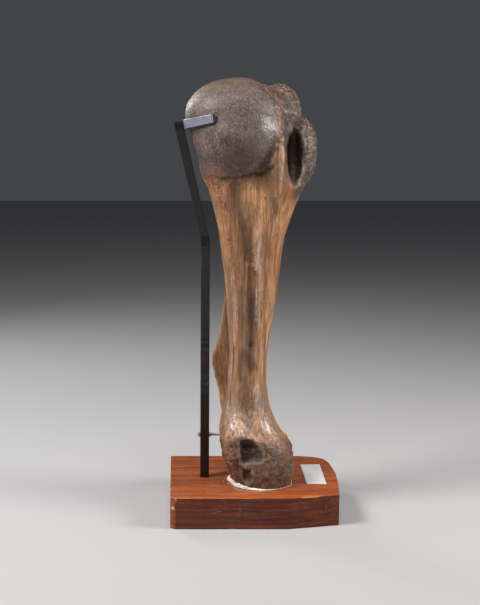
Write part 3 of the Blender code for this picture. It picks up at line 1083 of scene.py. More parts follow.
        gloss = graph.layer(Layer.GLOSS)
        rough = graph.step(crust, 0.0, 1.0, 0.34, 0.46)
        rough = graph.total(rough, graph.product(fine["Cloud"], 0.22), graph.product(foot, 0.14))
        rough = graph.maths("SUBTRACT", rough, graph.product(gloss, 0.15))
        rough = graph.maths("MAXIMUM", rough, graph.product(holes["Holes"], 0.85), clamp=True)
        graph.feed(shader.inputs["Roughness"], rough)
        open_skin = graph.maths(
            "SUBTRACT", 1.0, graph.maths("MAXIMUM", holes["Holes"], pinholes["Holes"])
        )
        sparkle = graph.step(specks["Cloud"], 0.40, 0.58, 0.20, 1.0)
        coat = graph.product(open_skin, graph.total(0.03, graph.product(gloss, sparkle, 1.1)))
        graph.feed(shader.inputs["Coat Weight"], graph.maths("MINIMUM", coat, 1.0))
        shader.inputs["Coat Roughness"].default_value = 0.30
        shader.inputs["Specular IOR Level"].default_value = 0.55

        grit = graph.total(
            graph.product(fine["Cloud"], 0.7),
            graph.product(specks["Cloud"], 0.7),
            graph.product(skin["Cloud"], 0.5),
            graph.product(pinholes["Holes"], -0.45),
            graph.product(holes["Holes"], -1.6),
        )
        woven = graph.product(graph.maths("SUBTRACT", 1.0, crust), fibres)
        graph.feed(shader.inputs["Normal"], graph.bump(graph.total(grit, woven), 0.0011))
        return made


@dataclass(frozen=True)
class Hardwood(Finish):
    """Varnished red hardwood with its grain along the block.

    Attributes:
        light, dark, pore: colours of the grain.
        side: painted shade on the upright faces, darker than the lit top.
        raw: bare wood where the varnish is gone.
        scuff: dry pale scratches.
        putty: filled hole in the cut corner.
        putty_place: where that hole is.
        scuff_place, second_scuff: middles of the scratched spots on the front.
        cherry: redder clouds.
        settled: dust.
    """

    light: Colour = (0.50, 0.122, 0.014)
    dark: Colour = (0.110, 0.017, 0.002)
    pore: Colour = (0.030, 0.006, 0.002)
    side: Colour = (0.060, 0.0085, 0.0015)
    raw: Colour = (0.40, 0.20, 0.08)
    scuff: Colour = (0.46, 0.21, 0.11)
    putty: Colour = (0.58, 0.44, 0.24)
    putty_place: Point = (-0.1874, -0.1630, 0.0470)
    scuff_place: Point = (-0.0870, -0.1672, 0.0450)
    second_scuff: Point = (-0.0380, -0.1672, 0.0470)
    cherry: Colour = (0.27, 0.040, 0.010)
    settled: Colour = (0.50, 0.42, 0.36)

    def build(self, effects: Effects) -> bpy.types.Material:
        """Builds the material.

        Args:
            effects: the shared effects.

        Returns:
            The material.
        """
        made, graph, shader = self.begin()
        board = graph.effect(effects.grain, Stretch=(2.6, 42.0, 42.0), Wander=1.1)
        fibre = graph.effect(effects.grain, Stretch=(9.0, 330.0, 330.0), Wander=0.25)
        rings = graph.add("ShaderNodeTexWave", wave_type="RINGS", rings_direction="X")
        centre = graph.add("ShaderNodeMapping")
        graph.fill(centre, Vector=graph.here(), Location=(0.0, 0.11, 0.16), Scale=(0.16, 1.0, 1.0))
        graph.fill(rings, Vector=centre.outputs["Vector"], Scale=26.0, Distortion=5.0)
        graph.fill(rings, Detail=3.0, Detail_Scale=1.6)
        ribbon = graph.effect(effects.grain, Stretch=(7.0, 120.0, 120.0), Wander=0.5)
        tone = graph.total(
            graph.product(board["Streaks"], 0.36),
            graph.product(rings.outputs["Fac"], 0.22),
            graph.product(ribbon["Streaks"], 0.30),
            graph.product(fibre["Streaks"], 0.12),
        )
        colour = graph.blend(tone, self.dark, self.light)
        clouds = graph.effect(effects.mottle, Scale=9.0, Cover=0.48, Softness=0.2)
        colour = graph.blend(graph.product(clouds["Patches"], 0.30), colour, self.cherry)
        ticks = graph.noise(graph.stretch((42.0, 900.0, 900.0)), 1.0, 1.0, 0.4)
        facing = graph.facing()
        upright = graph.step(facing["Z"], 0.8, 0.3)
        front = graph.product(upright, graph.step(facing["X"], -0.5, -0.2, 0.45, 1.0))
        # Painted shade: the upright faces are darker than the top.
        colour = graph.blend(
            graph.product(front, graph.step(tone, 0.0, 1.0, 0.95, 0.72)), colour, self.side
        )
        pores = graph.step(ticks, 0.64, 0.70)
        colour = graph.blend(graph.product(pores, 0.72), colour, self.pore)

        lines = graph.effect(
            effects.scratches, Place=graph.here(), Stretch=(34.0, 520.0, 620.0), Amount=0.75
        )
        dashes = graph.noise(graph.stretch((55.0, 300.0, 620.0)), 1.0, 2.0, 0.5)
        spot = graph.near(self.scuff_place, 0.004, 0.018)
        second = graph.near(self.second_scuff, 0.004, 0.026)
        scuffs = graph.product(graph.step(dashes, 0.60, 0.66), graph.maths("MAXIMUM", spot, second))
        chip = graph.step(graph.layer(Layer.CHIP), 0.35, 0.6)
        rubbed = graph.effect(effects.wear, Edge=graph.layer(Layer.EDGE), Amount=0.62, Scale=190.0)
        colour = graph.coats(
            colour,
            (graph.product(lines["Lines"], 0.16), self.scuff),
            (graph.product(scuffs, 0.62), self.scuff),
            (graph.product(rubbed["Rubbed"], 0.60), self.raw),
            (graph.product(chip, 0.85), self.raw),
        )
        plug = graph.near(self.putty_place, 0.0034, 0.0046)
        colour = graph.blend(graph.product(plug, 0.9), colour, self.putty)
        film = graph.effect(effects.dust, Amount=0.16, Scale=260.0)
        colour = graph.blend(film["Film"], colour, self.settled)
        graph.feed(shader.inputs["Base Color"], colour)

        dull = graph.maths("MAXIMUM", graph.maths("MAXIMUM", chip, rubbed["Rubbed"]), plug)
        smear = graph.effect(effects.mottle, Scale=30.0, Cover=0.5, Softness=0.3)
        rough = graph.total(
            0.30, graph.product(smear["Cloud"], 0.16), graph.product(film["Film"], 0.8)
        )
        rough = graph.maths("MAXIMUM", rough, graph.product(dull, 0.75), clamp=True)
        graph.feed(shader.inputs["Roughness"], rough)
        varnish = graph.product(
            graph.maths("SUBTRACT", 1.0, dull), graph.step(scuffs, 0.0, 1.0, 0.55, 0.1)
        )
        varnish = graph.product(varnish, graph.step(front, 0.0, 1.0, 1.0, 0.3))
        graph.feed(shader.inputs["Coat Weight"], varnish)
        shader.inputs["Coat Roughness"].default_value = 0.16
        shader.inputs["Specular IOR Level"].default_value = 0.25
        height = graph.total(
            graph.product(pores, -0.8),
            graph.product(fibre["Streaks"], 0.22),
            graph.product(smear["Cloud"], 0.6),
            graph.product(scuffs, -0.6),
        )
        graph.feed(shader.inputs["Normal"], graph.bump(height, 0.00035))
        return made


@dataclass(frozen=True)
class PaintedSteel(Finish):
    """Painted steel with rubbed edges.

    Attributes:
        paint: colour of the paint.
        metal: colour where it is rubbed.
        metallic: how metallic the paint is.
        rough: roughness of the paint.
        rubbing: how much the edges are rubbed.
        dust: how much dust lies on it.
        settled: colour of the dust.
    """

    paint: Colour = (0.005, 0.004, 0.005)
    metal: Colour = (0.20, 0.20, 0.21)
    metallic: float = 0.0
    rough: float = 0.36
    rubbing: float = 0.45
    dust: float = 0.16
    settled: Colour = (0.36, 0.33, 0.31)

    def build(self, effects: Effects) -> bpy.types.Material:
        """Builds the material.

        Args:
            effects: the shared effects.

        Returns:
            The material.
        """
        made, graph, shader = self.begin()
        strip = graph.vector_layer(Layer.STRIP)
        peel = graph.effect(effects.mottle, Scale=900.0, Cover=0.5, Softness=0.3)
        smears = graph.effect(effects.mottle, Scale=26.0, Cover=0.5, Softness=0.25)
        rubbed = graph.effect(
            effects.wear, Edge=graph.layer(Layer.EDGE), Amount=self.rubbing, Scale=260.0
        )
        lines = graph.effect(
            effects.scratches, Place=strip, Stretch=(30.0, 900.0, 900.0), Amount=0.7
        )
        film = graph.effect(effects.dust, Amount=self.dust, Scale=300.0)
        bare = graph.maths("MAXIMUM", rubbed["Rubbed"], graph.product(lines["Lines"], 0.35))
        paint = graph.blend(
            smears["Cloud"], self.paint, tuple(min(1.0, 1.5 * part + 0.002) for part in self.paint)
        )
        colour = graph.coats(
            paint,
            (graph.product(bare, 0.7), self.metal),
            (film["Film"], self.settled),
        )
        graph.feed(shader.inputs["Base Color"], colour)
        graph.feed(shader.inputs["Metallic"], graph.step(bare, 0.0, 1.0, self.metallic, 0.85))
        rough = graph.total(
            self.rough, graph.product(smears["Cloud"], 0.12), graph.product(film["Film"], 1.2)
        )
        graph.feed(shader.inputs["Roughness"], graph.maths("MINIMUM", rough, 0.9))
        height = graph.total(
            graph.product(peel["Cloud"], 0.5),
            graph.product(lines["Lines"], -0.35),
            graph.product(rubbed["Rubbed"], -0.4),
        )
        graph.feed(shader.inputs["Normal"], graph.bump(height, 0.00018))
        return made


@dataclass(frozen=True)
class BareSteel(Finish):
    """Bright steel with turning marks and a little rust.

    Attributes:
        metal: colour of the steel.
        rust: colour of the rust.
        shine: rubbed edges.
    """

    metal: Colour = (0.56, 0.56, 0.57)
    rust: Colour = (0.20, 0.085, 0.035)
    shine: Colour = (0.75, 0.75, 0.76)

    def build(self, effects: Effects) -> bpy.types.Material:
        """Builds the material.

        Args:
            effects: the shared effects.

        Returns:
            The material.
        """
        made, graph, shader = self.begin()
        rust = graph.effect(effects.mottle, Scale=330.0, Cover=0.40, Softness=0.08)
        spots = graph.product(rust["Patches"], 0.7)
        turned = graph.noise(graph.stretch((2600.0, 40.0, 40.0)), 1.0, 2.0)
        rubbed = graph.effect(effects.wear, Edge=graph.layer(Layer.EDGE), Amount=0.5, Scale=400.0)
        colour = graph.coats(
            tuple(0.6 * part for part in self.metal),
            (turned, self.metal),
            (spots, self.rust),
            (graph.product(rubbed["Rubbed"], 0.5), self.shine),
        )
        graph.feed(shader.inputs["Base Color"], colour)
        graph.feed(shader.inputs["Metallic"], graph.step(spots, 0.0, 1.0, 1.0, 0.1))
        graph.feed(
            shader.inputs["Roughness"],
            graph.total(0.28, graph.product(turned, 0.1), graph.product(spots, 0.4)),
        )
        graph.feed(
            shader.inputs["Normal"],
            graph.bump(graph.total(turned, graph.product(spots, 0.6)), 0.00012),
        )
        return made


@dataclass(frozen=True)
class Felt(Finish):
    """Black pressed felt.

    Attributes:
        dark, light: colours of the fibres.
        lint: colour of the lint on it.
    """

    dark: Colour = (0.006, 0.006, 0.006)
    light: Colour = (0.030, 0.028, 0.028)
    lint: Colour = (0.25, 0.23, 0.21)

    def build(self, effects: Effects) -> bpy.types.Material:
        """Builds the material.

        Args:
            effects: the shared effects.

        Returns:
            The material.
        """
        made, graph, shader = self.begin()
        hairs = graph.effect(effects.grain, Stretch=(900.0, 1500.0, 1200.0), Wander=2.5)
        tufts = graph.effect(effects.mottle, Scale=700.0, Cover=0.5, Softness=0.2)
        lint = graph.effect(effects.dust, Amount=0.25, Scale=520.0)
        colour = graph.coats(
            self.dark,
            (graph.product(hairs["Streaks"], tufts["Cloud"]), self.light),
            (lint["Film"], self.lint),
        )
        graph.feed(shader.inputs["Base Color"], colour)
        shader.inputs["Roughness"].default_value = 0.95
        shader.inputs["Sheen Weight"].default_value = 0.35
        shader.inputs["Sheen Roughness"].default_value = 0.5
        height = graph.total(hairs["Fine streaks"], tufts["Cloud"])
        graph.feed(shader.inputs["Normal"], graph.bump(height, 0.0004))
        return made


@dataclass(frozen=True)
class Plaster(Finish):
    """White plaster, dirty in its hollows.

    Attributes:
        white, stain: colours of the plaster and of its dirt.
    """

    white: Colour = (0.74, 0.70, 0.62)
    stain: Colour = (0.34, 0.22, 0.13)

    def build(self, effects: Effects) -> bpy.types.Material:
        """Builds the material.

        Args:
            effects: the shared effects.

        Returns:
            The material.
        """
        made, graph, shader = self.begin()
        dirt = graph.effect(effects.mottle, Scale=150.0, Cover=0.46, Softness=0.12)
        grit = graph.effect(effects.mottle, Scale=1100.0, Cover=0.5, Softness=0.2)
        bubbles = graph.effect(effects.pores, Scale=620.0, Amount=0.55)
        low = graph.step(graph.layer(Layer.BULGE), 0.1, -0.8)
        colour = graph.coats(
            self.white,
            (graph.product(dirt["Patches"], 0.70), self.stain),
            (graph.product(low, 0.6), self.stain),
            (graph.product(bubbles["Holes"], 0.5), self.stain),
        )
        graph.feed(shader.inputs["Base Color"], colour)
        graph.feed(shader.inputs["Roughness"], graph.step(grit["Cloud"], 0.2, 0.8, 0.78, 0.95))
        height = graph.total(grit["Cloud"], graph.product(bubbles["Holes"], -1.0))
        graph.feed(shader.inputs["Normal"], graph.bump(height, 0.0004))
        return made


@dataclass(frozen=True)
class WhiteCard(Finish):
    """Smooth white card, a little yellow and rubbed at its edges.

    Attributes:
        white, aged: colours of the card.
        settled: dust.
    """

    white: Colour = (0.62, 0.62, 0.64)
    aged: Colour = (0.47, 0.44, 0.38)
    settled: Colour = (0.45, 0.42, 0.38)

    def build(self, effects: Effects) -> bpy.types.Material:
        """Builds the material.

        Args:
            effects: the shared effects.

        Returns:
            The material.
        """
        made, graph, shader = self.begin()
        foxing = graph.effect(effects.mottle, Scale=45.0, Cover=0.42, Softness=0.2)
        fibres = graph.effect(effects.grain, Stretch=(1400.0, 700.0, 900.0), Wander=1.5)
        rubbed = graph.effect(effects.wear, Edge=graph.layer(Layer.EDGE), Amount=0.55, Scale=300.0)
        film = graph.effect(effects.dust, Amount=0.16, Scale=500.0)
        colour = graph.coats(
            self.white,
            (graph.product(foxing["Patches"], 0.16), self.aged),
            (graph.product(fibres["Fine streaks"], 0.06), self.aged),
            (graph.product(rubbed["Rubbed"], 0.55), self.aged),
            (film["Film"], self.settled),
        )
        graph.feed(shader.inputs["Base Color"], colour)
        graph.feed(shader.inputs["Roughness"], graph.step(foxing["Cloud"], 0.2, 0.8, 0.36, 0.5))
        graph.feed(shader.inputs["Normal"], graph.bump(fibres["Streaks"], 0.00005))
        return made


@dataclass(frozen=True)
class StudioFloor(Finish):
    """Plain pale floor.

    Attributes:
        pale, darker: its colours.
    """

    pale: Colour = (0.40, 0.40, 0.41)
    darker: Colour = (0.36, 0.36, 0.36)

    def build(self) -> bpy.types.Material:
        """Builds the material.

        Returns:
            The material.
        """
        made, graph, shader = self.begin()
        even = graph.noise(graph.stretch(), 3.0, 3.0)
        graph.feed(
            shader.inputs["Base Color"],
            graph.blend(graph.product(even, 0.10), self.pale, self.darker),
        )
        shader.inputs["Roughness"].default_value = 0.75
        return made


# ---- the bone -----------------------------------------------------------------------------


@dataclass
class Bone:
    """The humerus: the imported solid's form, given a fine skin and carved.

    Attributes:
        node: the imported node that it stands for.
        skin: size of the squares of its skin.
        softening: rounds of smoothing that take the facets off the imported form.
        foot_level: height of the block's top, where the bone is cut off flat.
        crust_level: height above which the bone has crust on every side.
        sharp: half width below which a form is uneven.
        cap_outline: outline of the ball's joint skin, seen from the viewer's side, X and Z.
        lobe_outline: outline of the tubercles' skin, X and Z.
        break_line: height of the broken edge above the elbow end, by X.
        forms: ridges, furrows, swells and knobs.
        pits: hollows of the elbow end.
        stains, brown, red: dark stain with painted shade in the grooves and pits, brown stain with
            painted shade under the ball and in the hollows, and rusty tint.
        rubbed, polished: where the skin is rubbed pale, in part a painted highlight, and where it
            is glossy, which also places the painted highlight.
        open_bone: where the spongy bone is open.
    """

    node: str = "humerus"
    skin: float = 0.0029
    softening: int = 9
    foot_level: float = 0.0709
    crust_level: float = 0.868
    sharp: float = 0.008
    cap_outline: tuple[Flat, ...] = metres(
        (-200, 742), (-114, 754), (-100, 764), (-81, 762), (-53, 764), (-22, 771), (12, 777),
        (27, 790), (34, 817), (37, 850), (36, 880), (29, 910), (18, 931), (6, 946), (-6, 959),
        (-10, 1050), (-200, 1050),
    )
    lobe_outline: tuple[Flat, ...] = metres(
        (26, 840), (49, 822), (60, 808), (68, 770), (88, 742), (92, 715), (200, 690), (200, 1050),
        (-40, 1050), (-40, 970), (0, 920),
    )
    break_line: tuple[Flat, ...] = metres(
        (-100, 172), (-73, 175), (-56, 179), (-43, 186), (-24, 181), (2, 171), (25, 177), (55, 172),
        (100, 150),
    )
    forms: tuple[Stroke, ...] = strokes(
        MILLIMETRES,
        {
            "ridge left of the biceps groove": (
                4.8, 4.6, (46, -92, 825), (46, -90, 787), (45, -80, 759), (44, -72, 728),
            ),
            "deep of the biceps groove": (
                12, -4, (90, 0, 880), (80, -8, 829), (78, -8, 796), (83, -22, 763),
            ),
            "valley beside the ball": (
                7, -2.6, (2, -74, 948), (37, -70, 923), (52, -58, 894), (46, -80, 855),
            ),
            "edge over the groove": (4.5, 2.2, (56, -50, 900), (70, -20, 902), (85, 4, 899)),
            "long furrow, upper part": (
                11, -2, (-41, -70, 740), (-37, -67, 700), (-31, -63, 645), (-22, -57, 578),
            ),
            "long furrow, middle": (
                10, -2.6, (-22, -57, 578), (-14, -53, 511), (-11, -53, 469), (-13, -50, 387),
            ),
            "long furrow, lower part": (
                7, -2.4, (-13, -50, 387), (-17, -51, 349), (-8, -57, 281), (-6, -64, 242),
            ),
            "crest right of the furrow": (
                5.5, 2.1, (-3, -68, 656), (-1, -65, 623), (0, -60, 574), (1, -56, 512),
                (0, -53, 444),
            ),
            "crest left of the furrow": (
                6.5, 1.9, (-66, -48, 642), (-61, -45, 599), (-56, -44, 561), (-51, -43, 510),
                (-47, -47, 443), (-48, -40, 385),
            ),
            "line along the outer crest": (
                4.2, -2.4, (-66, 14, 470), (-64, 10, 430), (-60, 0, 398), (-58, -12, 364),
                (-60, -14, 320),
            ),
            "pale ridge above the elbow": (
                4.6, 2.6, (-52, -32, 375), (-54, -31, 335), (-57, -30, 303), (-62, -32, 243),
                (-70, -49, 206),
            ),
            "swell right above the elbow": (10, 2, (1, -62, 250), (22, -60, 217), (38, -60, 192)),
            "swell left above the elbow": (
                10, 1.8, (-61, -58, 217), (-47, -85, 204), (-34, -90, 196),
            ),
            "lip over the elbow hollow": (
                5.5, 3.6, (-44, -92, 186), (-26, -90, 188), (-10, -92, 184), (4, -93, 174),
            ),
            "rough left edge of the elbow": (
                9.5, 5, (-66, -88, 166), (-58, -93, 139), (-52, -86, 108), (-46, -80, 82),
            ),
            "upper knob of the elbow": (10, 4.8, (64, -14, 171), (70, -4, 166)),
            "side knob of the elbow": (11, 3.6, (80, 4, 152), (84, 10, 143)),
            "rim of the outer elbow": (
                9, 3, (60, 90, 160), (20, 100, 175), (-30, 108, 172), (-62, 88, 150),
            ),
            "back of the elbow": (12, -3, (-70, -50, 150), (-82, -10, 128), (-78, 45, 140)),
            "outer line of the upper shaft": (
                7, 3.2, (60, 80, 760), (50, 85, 690), (40, 82, 620), (30, 82, 550), (20, 78, 480),
            ),
            "rough field for the shoulder muscle": (
                16, 2, (20, 88, 620), (14, 88, 560), (10, 84, 500),
            ),
            "winding line behind": (
                6, 2, (-80, 30, 690), (-66, 50, 620), (-50, 64, 550), (-34, 66, 480),
            ),
            "feeding hole": (4.6, -5, (-52, 36, 452), (-51, 38, 440)),
        },
    )
    pits: tuple[Pit, ...] = (
        Pit(
            metres(
                (-25, 182.5), (-5.1, 178.5), (8.3, 161), (14.9, 142), (10.5, 132), (-11.7, 130),
                (-33.9, 124), (-40, 132), (-40, 169), (-36, 180),
            ),
            depth=0.0125,
            wall=0.0075,
            stain=0.86,
        ),
        Pit(
            metres(
                (-35, 117), (-13.9, 116), (-9.5, 97), (-18, 82), (-34.5, 88),
            ),
            depth=0.007,
            wall=0.0065,
            stain=0.42,
        ),
        Pit(
            metres(
                (17, 162), (25, 156), (22, 138), (16, 142),
            ),
            depth=0.003,
            wall=0.004,
            stain=0.5,
        ),
    )
    # Dark stain, with painted shade in the furrow, the biceps groove, the crack and the holes.
    stains_and_shade: tuple[Stroke, ...] = strokes(
        1,
        {
            "furrow, upper part": (
                8.5, 0.34, (-36, -66, 660), (-31, -63, 645), (-22, -57, 578), (-18, -55, 540),
            ),
            "furrow, lower part": (
                8, 0.5, (-14, -53, 511), (-11, -53, 469), (-13, -50, 387), (-17, -51, 340),
            ),
            "dark spot high in the furrow": (7, 0.55, (-21, -57, 562), (-18, -55, 535)),
            "darkest spot in the furrow": (9.8, 0.95, (-13, -53, 488), (-11, -53, 448)),
            "broad spot low in the furrow": (12, 0.8, (-24, -49, 364), (-8, -53, 340)),
            "line along the outer crest": (
                3.8, 0.75, (-66, 14, 470), (-64, 10, 430), (-60, 0, 398), (-58, -12, 364),
            ),
            "biceps groove": (
                17.5, 0.72, (92, 4, 884), (82, -6, 840), (79, -8, 796), (82, -20, 763),
                (90, -34, 735),
            ),
            "left pit of the elbow": (7, 0.7, (-72, -84, 172), (-64, -90, 168)),
            "lower left holes of the elbow": (8, 0.6, (-48, -84, 100), (-36, -92, 85)),
            "top of the biceps groove": (10, 0.6, (90, 0, 888), (87, -6, 864)),
            "crack on the ball": (2.6, 0.75, (-49, -108, 921), (-32, -109, 919), (-20, -108, 915)),
            "outer elbow": (20, 0.45, (30, 104, 130), (-30, 106, 120)),
            "feeding hole": (5, 0.9, (-52, 36, 452), (-51, 38, 436)),
        },
    )
    # Brown stain; under the ball's rim, in the biceps groove, beside the ball and in the elbow
    # hollow it is painted shade.
    brown: tuple[Stroke, ...] = strokes(
        1,
        {
            "band under the ball": (
                21, 0.66, (-54, -71, 755), (-47, -68, 711), (-38, -64, 656), (-28, -60, 600),
            ),
            "beside the lower furrow": (
                16.5, 0.6, (-28, -53, 500), (-26, -47, 400), (-26, -48, 330), (-24, -55, 270),
            ),
            "under the rim of the ball": (
                11.5, 0.9, (-90, -68, 752), (-53, -75, 757), (-22, -75, 763), (10, -77, 769),
                (26, -84, 780),
            ),
            "top of the ball": (46, 0.6, (-90, -40, 965), (-20, -40, 975), (-20, 40, 970)),
            "left wall of the biceps groove": (
                12, 0.86, (56, -74, 832), (59, -66, 790), (62, -58, 750),
            ),
            "top of the biceps groove": (16, 0.9, (90, 0, 892), (85, -8, 862)),
            "left lip of the biceps groove": (
                10, 0.85, (60, -76, 872), (62, -74, 830), (66, -66, 785),
            ),
            "low on the ball": (26, 0.4, (-60, -105, 800), (-10, -105, 810)),
            "valley beside the ball": (
                10, 0.6, (6, -70, 950), (40, -66, 918), (56, -50, 890), (60, -60, 850),
            ),
            "upper lobe": (30, 0.62, (26, -30, 956), (70, 0, 930)),
            "biceps groove": (
                20, 0.88, (88, -2, 886), (72, -30, 850), (66, -46, 800), (74, -40, 760),
                (86, -40, 728),
            ),
            "lower shaft": (40, 0.46, (-40, -60, 250), (0, -65, 250), (24, -50, 250)),
            "hollow of the elbow": (16, 0.7, (-28, -94, 168), (-12, -102, 148), (-22, -98, 136)),
            "between the bright spots": (
                13, 0.74, (-22, -62, 262), (-22, -72, 236), (-20, -82, 212),
            ),
            "left corner above the elbow": (13, 0.5, (-80, -50, 200), (-76, -70, 182)),
            "middle of the elbow": (24, 0.6, (-10, -105, 130), (-12, -102, 95)),
            "whole of the outer elbow": (40, 0.4, (40, 100, 120), (-30, 104, 120)),
            "outer side of the flange": (16, 0.3, (-80, 60, 330), (-66, 52, 250)),
        },
    )
    red: tuple[Stroke, ...] = strokes(
        1,
        {
            "left under the ball": (15, 0.74, (-104, -42, 752), (-86, -50, 720), (-70, -50, 670)),
            "low left of the ball": (14, 0.42, (-108, -50, 772), (-80, -80, 776)),
            "left streak of the shaft": (9, 0.45, (-66, -47, 645), (-58, -44, 560)),
            "right of the biceps ridge": (16, 0.85, (58, -70, 790), (66, -55, 720)),
            "right edge of the ball": (
                12, 0.42, (10, -50, 946), (42, -60, 917), (54, -70, 895), (49, -80, 867),
                (41, -90, 831),
            ),
            "left of the biceps ridge": (9, 0.55, (36, -88, 800), (34, -80, 750)),
            "top of the upper lobe": (12, 0.5, (20, -20, 962), (60, 10, 954)),
            "left edge of the elbow": (13, 0.74, (-66, -88, 160), (-57, -90, 125), (-48, -80, 85)),
            "right edge of the upper shaft": (
                16, 0.3, (72, -20, 700), (50, -30, 600), (34, -30, 500),
            ),
            "beside the biceps groove": (12, 0.5, (62, -84, 860), (66, -78, 800), (74, -60, 750)),
            "flange": (16, 0.35, (-90, 50, 340), (-80, 64, 270)),
        },
    )
    # Rubbed pale bone; the strokes above the elbow, on the crests, by the biceps groove and on the
    # ball are painted highlights.
    rubbed: tuple[Stroke, ...] = strokes(
        1,
        {
            "crest right of the furrow": (
                7.5, 0.62, (-3, -68, 640), (0, -60, 574), (1, -56, 512), (0, -53, 420),
            ),
            "bright spot on that crest": (8, 0.75, (-4, -67, 632), (0, -65, 618)),
            "crest left of the furrow": (
                11, 0.5, (-62, -46, 560), (-53, -43, 510), (-47, -47, 443), (-48, -40, 385),
            ),
            "left of the shaft under the ball": (
                12, 0.5, (-92, -46, 735), (-80, -50, 712), (-70, -50, 677),
            ),
            "pale ridge above the elbow": (
                5, 0.62, (-52, -32, 375), (-57, -30, 303), (-62, -32, 243), (-70, -49, 206),
            ),
            "left above the elbow": (18, 0.8, (-59, -50, 256), (-58, -66, 215), (-46, -86, 200)),
            "right above the elbow": (
                18, 0.8, (6, -60, 280), (16, -58, 226), (28, -62, 200), (40, -62, 184),
            ),
            "tongue between them": (9, 0.5, (-12, -84, 212), (-4, -90, 190)),
            "septum of the elbow": (5, 0.6, (-34, -98, 126), (-12, -104, 122)),
            "left column of the elbow": (
                10, 0.55, (-66, -88, 160), (-56, -92, 130), (-50, -86, 105),
            ),
            "all above the elbow": (30, 0.36, (-60, -60, 230), (-20, -75, 225), (26, -58, 235)),
            "ridge left of the biceps groove": (
                6.4, 0.9, (46, -92, 815), (46, -90, 787), (45, -80, 759),
            ),
            "edge over the groove": (4, 0.75, (56, -50, 900), (70, -20, 902), (85, 4, 899)),
            "upper left of the ball": (30, 0.3, (-130, -60, 905), (-120, -70, 870)),
            "right of the ball": (14, 0.4, (20, -98, 870), (22, -98, 855)),
        },
    )
    open_bone: tuple[Stroke, ...] = strokes(
        1,
        {
            "patch on the lower lobe": (
                10.5, 1.0, (100, 2, 884), (108, -10, 868), (112, -18, 850), (108, -20, 838),
            ),
            "top of the upper lobe": (11, 0.8, (30, -6, 955), (50, 10, 951), (66, 12, 940)),
            "left under the ball": (12, 0.85, (-94, -46, 745), (-80, -52, 715), (-68, -52, 680)),
            "left streak of the shaft": (
                8.5, 0.9, (-68, -46, 640), (-62, -45, 599), (-56, -44, 550),
            ),
            "beside the furrow": (6, 0.75, (-16, -60, 600), (-12, -58, 560), (-4, -58, 545)),
            "lower crest right of the furrow": (5, 0.45, (0, -56, 505), (1, -53, 440)),
            "left edge of the elbow": (13, 0.6, (-66, -92, 150), (-56, -86, 112), (-46, -82, 80)),
            "right foot of the elbow": (12, 0.5, (70, -60, 82), (80, -30, 85)),
            "ragged edge of the lower lobe": (
                11, 0.6, (126, 10, 790), (118, 14, 762), (104, 10, 735),
            ),
            "outer elbow": (17, 0.6, (50, 98, 110), (0, 106, 90), (-40, 100, 95)),
            "outer side of the tubercle": (24, 0.45, (40, 116, 880), (50, 110, 830)),
        },
    )
    # Glossy places, which also set where the painted highlight goes.
    gloss_and_highlight: tuple[Stroke, ...] = strokes(
        1,
        {
            "upper left of the ball": (40, 0.55, (-135, -50, 900), (-120, -75, 860)),
            "right of the ball": (20, 0.85, (22, -98, 872), (22, -98, 850)),
            "ridge left of the biceps groove": (10, 1.0, (46, -92, 820), (45, -80, 750)),
            "left above the elbow": (30, 1.0, (-60, -52, 248), (-58, -66, 215), (-44, -88, 196)),
            "right above the elbow": (28, 1.0, (6, -60, 275), (22, -57, 217), (40, -62, 184)),
            "middle of the shaft": (12, 0.45, (0, -62, 640), (0, -55, 440)),
            "pale ridge above the elbow": (8, 0.6, (-54, -31, 360), (-62, -32, 243)),
        },
    )

    def build(self, effects: Effects) -> list[bpy.types.Object]:
        """Builds the bone.

        Args:
            effects: the shared effects.

        Returns:
            The one piece that it is.
        """
        piece = self.skin_over()
        zones = self.carve(piece)
        self.record(piece, zones)
        finish = FossilBone("fossil bone").build(effects)
        return [put_on(piece, Slot.BONE, finish, self.node)]

    def skin_over(self) -> bpy.types.Object:
        """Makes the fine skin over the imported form.

        Returns:
            The bone before it is carved.
        """
        piece = new_object("humerus_carved", copy_of_node(self.node))
        modify(piece, "REMESH", mode="VOXEL", voxel_size=self.skin, use_smooth_shade=True)
        modify(piece, "SMOOTH", factor=0.5, iterations=self.softening)
        use_up(piece)
        return piece

    def zones_at(self, places: np.ndarray) -> dict[Layer, np.ndarray]:
        """Which kind of surface the bone has at each point.

        Args:
            places: points on the bone.

        Returns:
            Metres inside the cap, the lobe and the foot.
        """
        lean = 0.75 * np.clip(places[:, 1] + 0.020, 0.0, None)
        flat = np.stack((places[:, 0] + lean, places[:, 2]), axis=1)
        far_side = ramp(places[:, 1], 0.055, 0.085)
        cap = inside_outline(flat, self.cap_outline) - 0.030 * far_side
        straight = np.stack((places[:, 0] + 0.25 * lean, places[:, 2]), axis=1)
        lobe = np.maximum(
            inside_outline(straight, self.lobe_outline), places[:, 2] - self.crust_level
        )
        xs, zs = np.array(self.break_line).T
        foot = np.interp(places[:, 0], xs, zs) - places[:, 2] - 0.10 * np.clip(
            places[:, 1], 0.0, None
        )
        return {Layer.CAP: cap, Layer.LOBE: lobe, Layer.FOOT: foot}

    def carve(self, piece: bpy.types.Object) -> dict[Layer, np.ndarray]:
        """Moves the skin along its normals into the bone's relief.

        Args:
            piece: the skin.

        Returns:
            The zones at each vertex.
        """
        places = places_of(piece)
        normals = normals_of(piece)
        zones = self.zones_at(places)
        ragged = 0.0045 * cloud(places, 70.0, 4, 3.1)
        cap_rim = zones[Layer.CAP] + ragged
        cap = ramp(cap_rim, -0.0015, 0.0020)
        lobe = ramp(zones[Layer.LOBE] + ragged, -0.003, 0.004)
        foot = ramp(zones[Layer.FOOT] + 1.6 * ragged, -0.004, 0.006)
        crust = np.maximum(np.maximum(cap, lobe), foot)

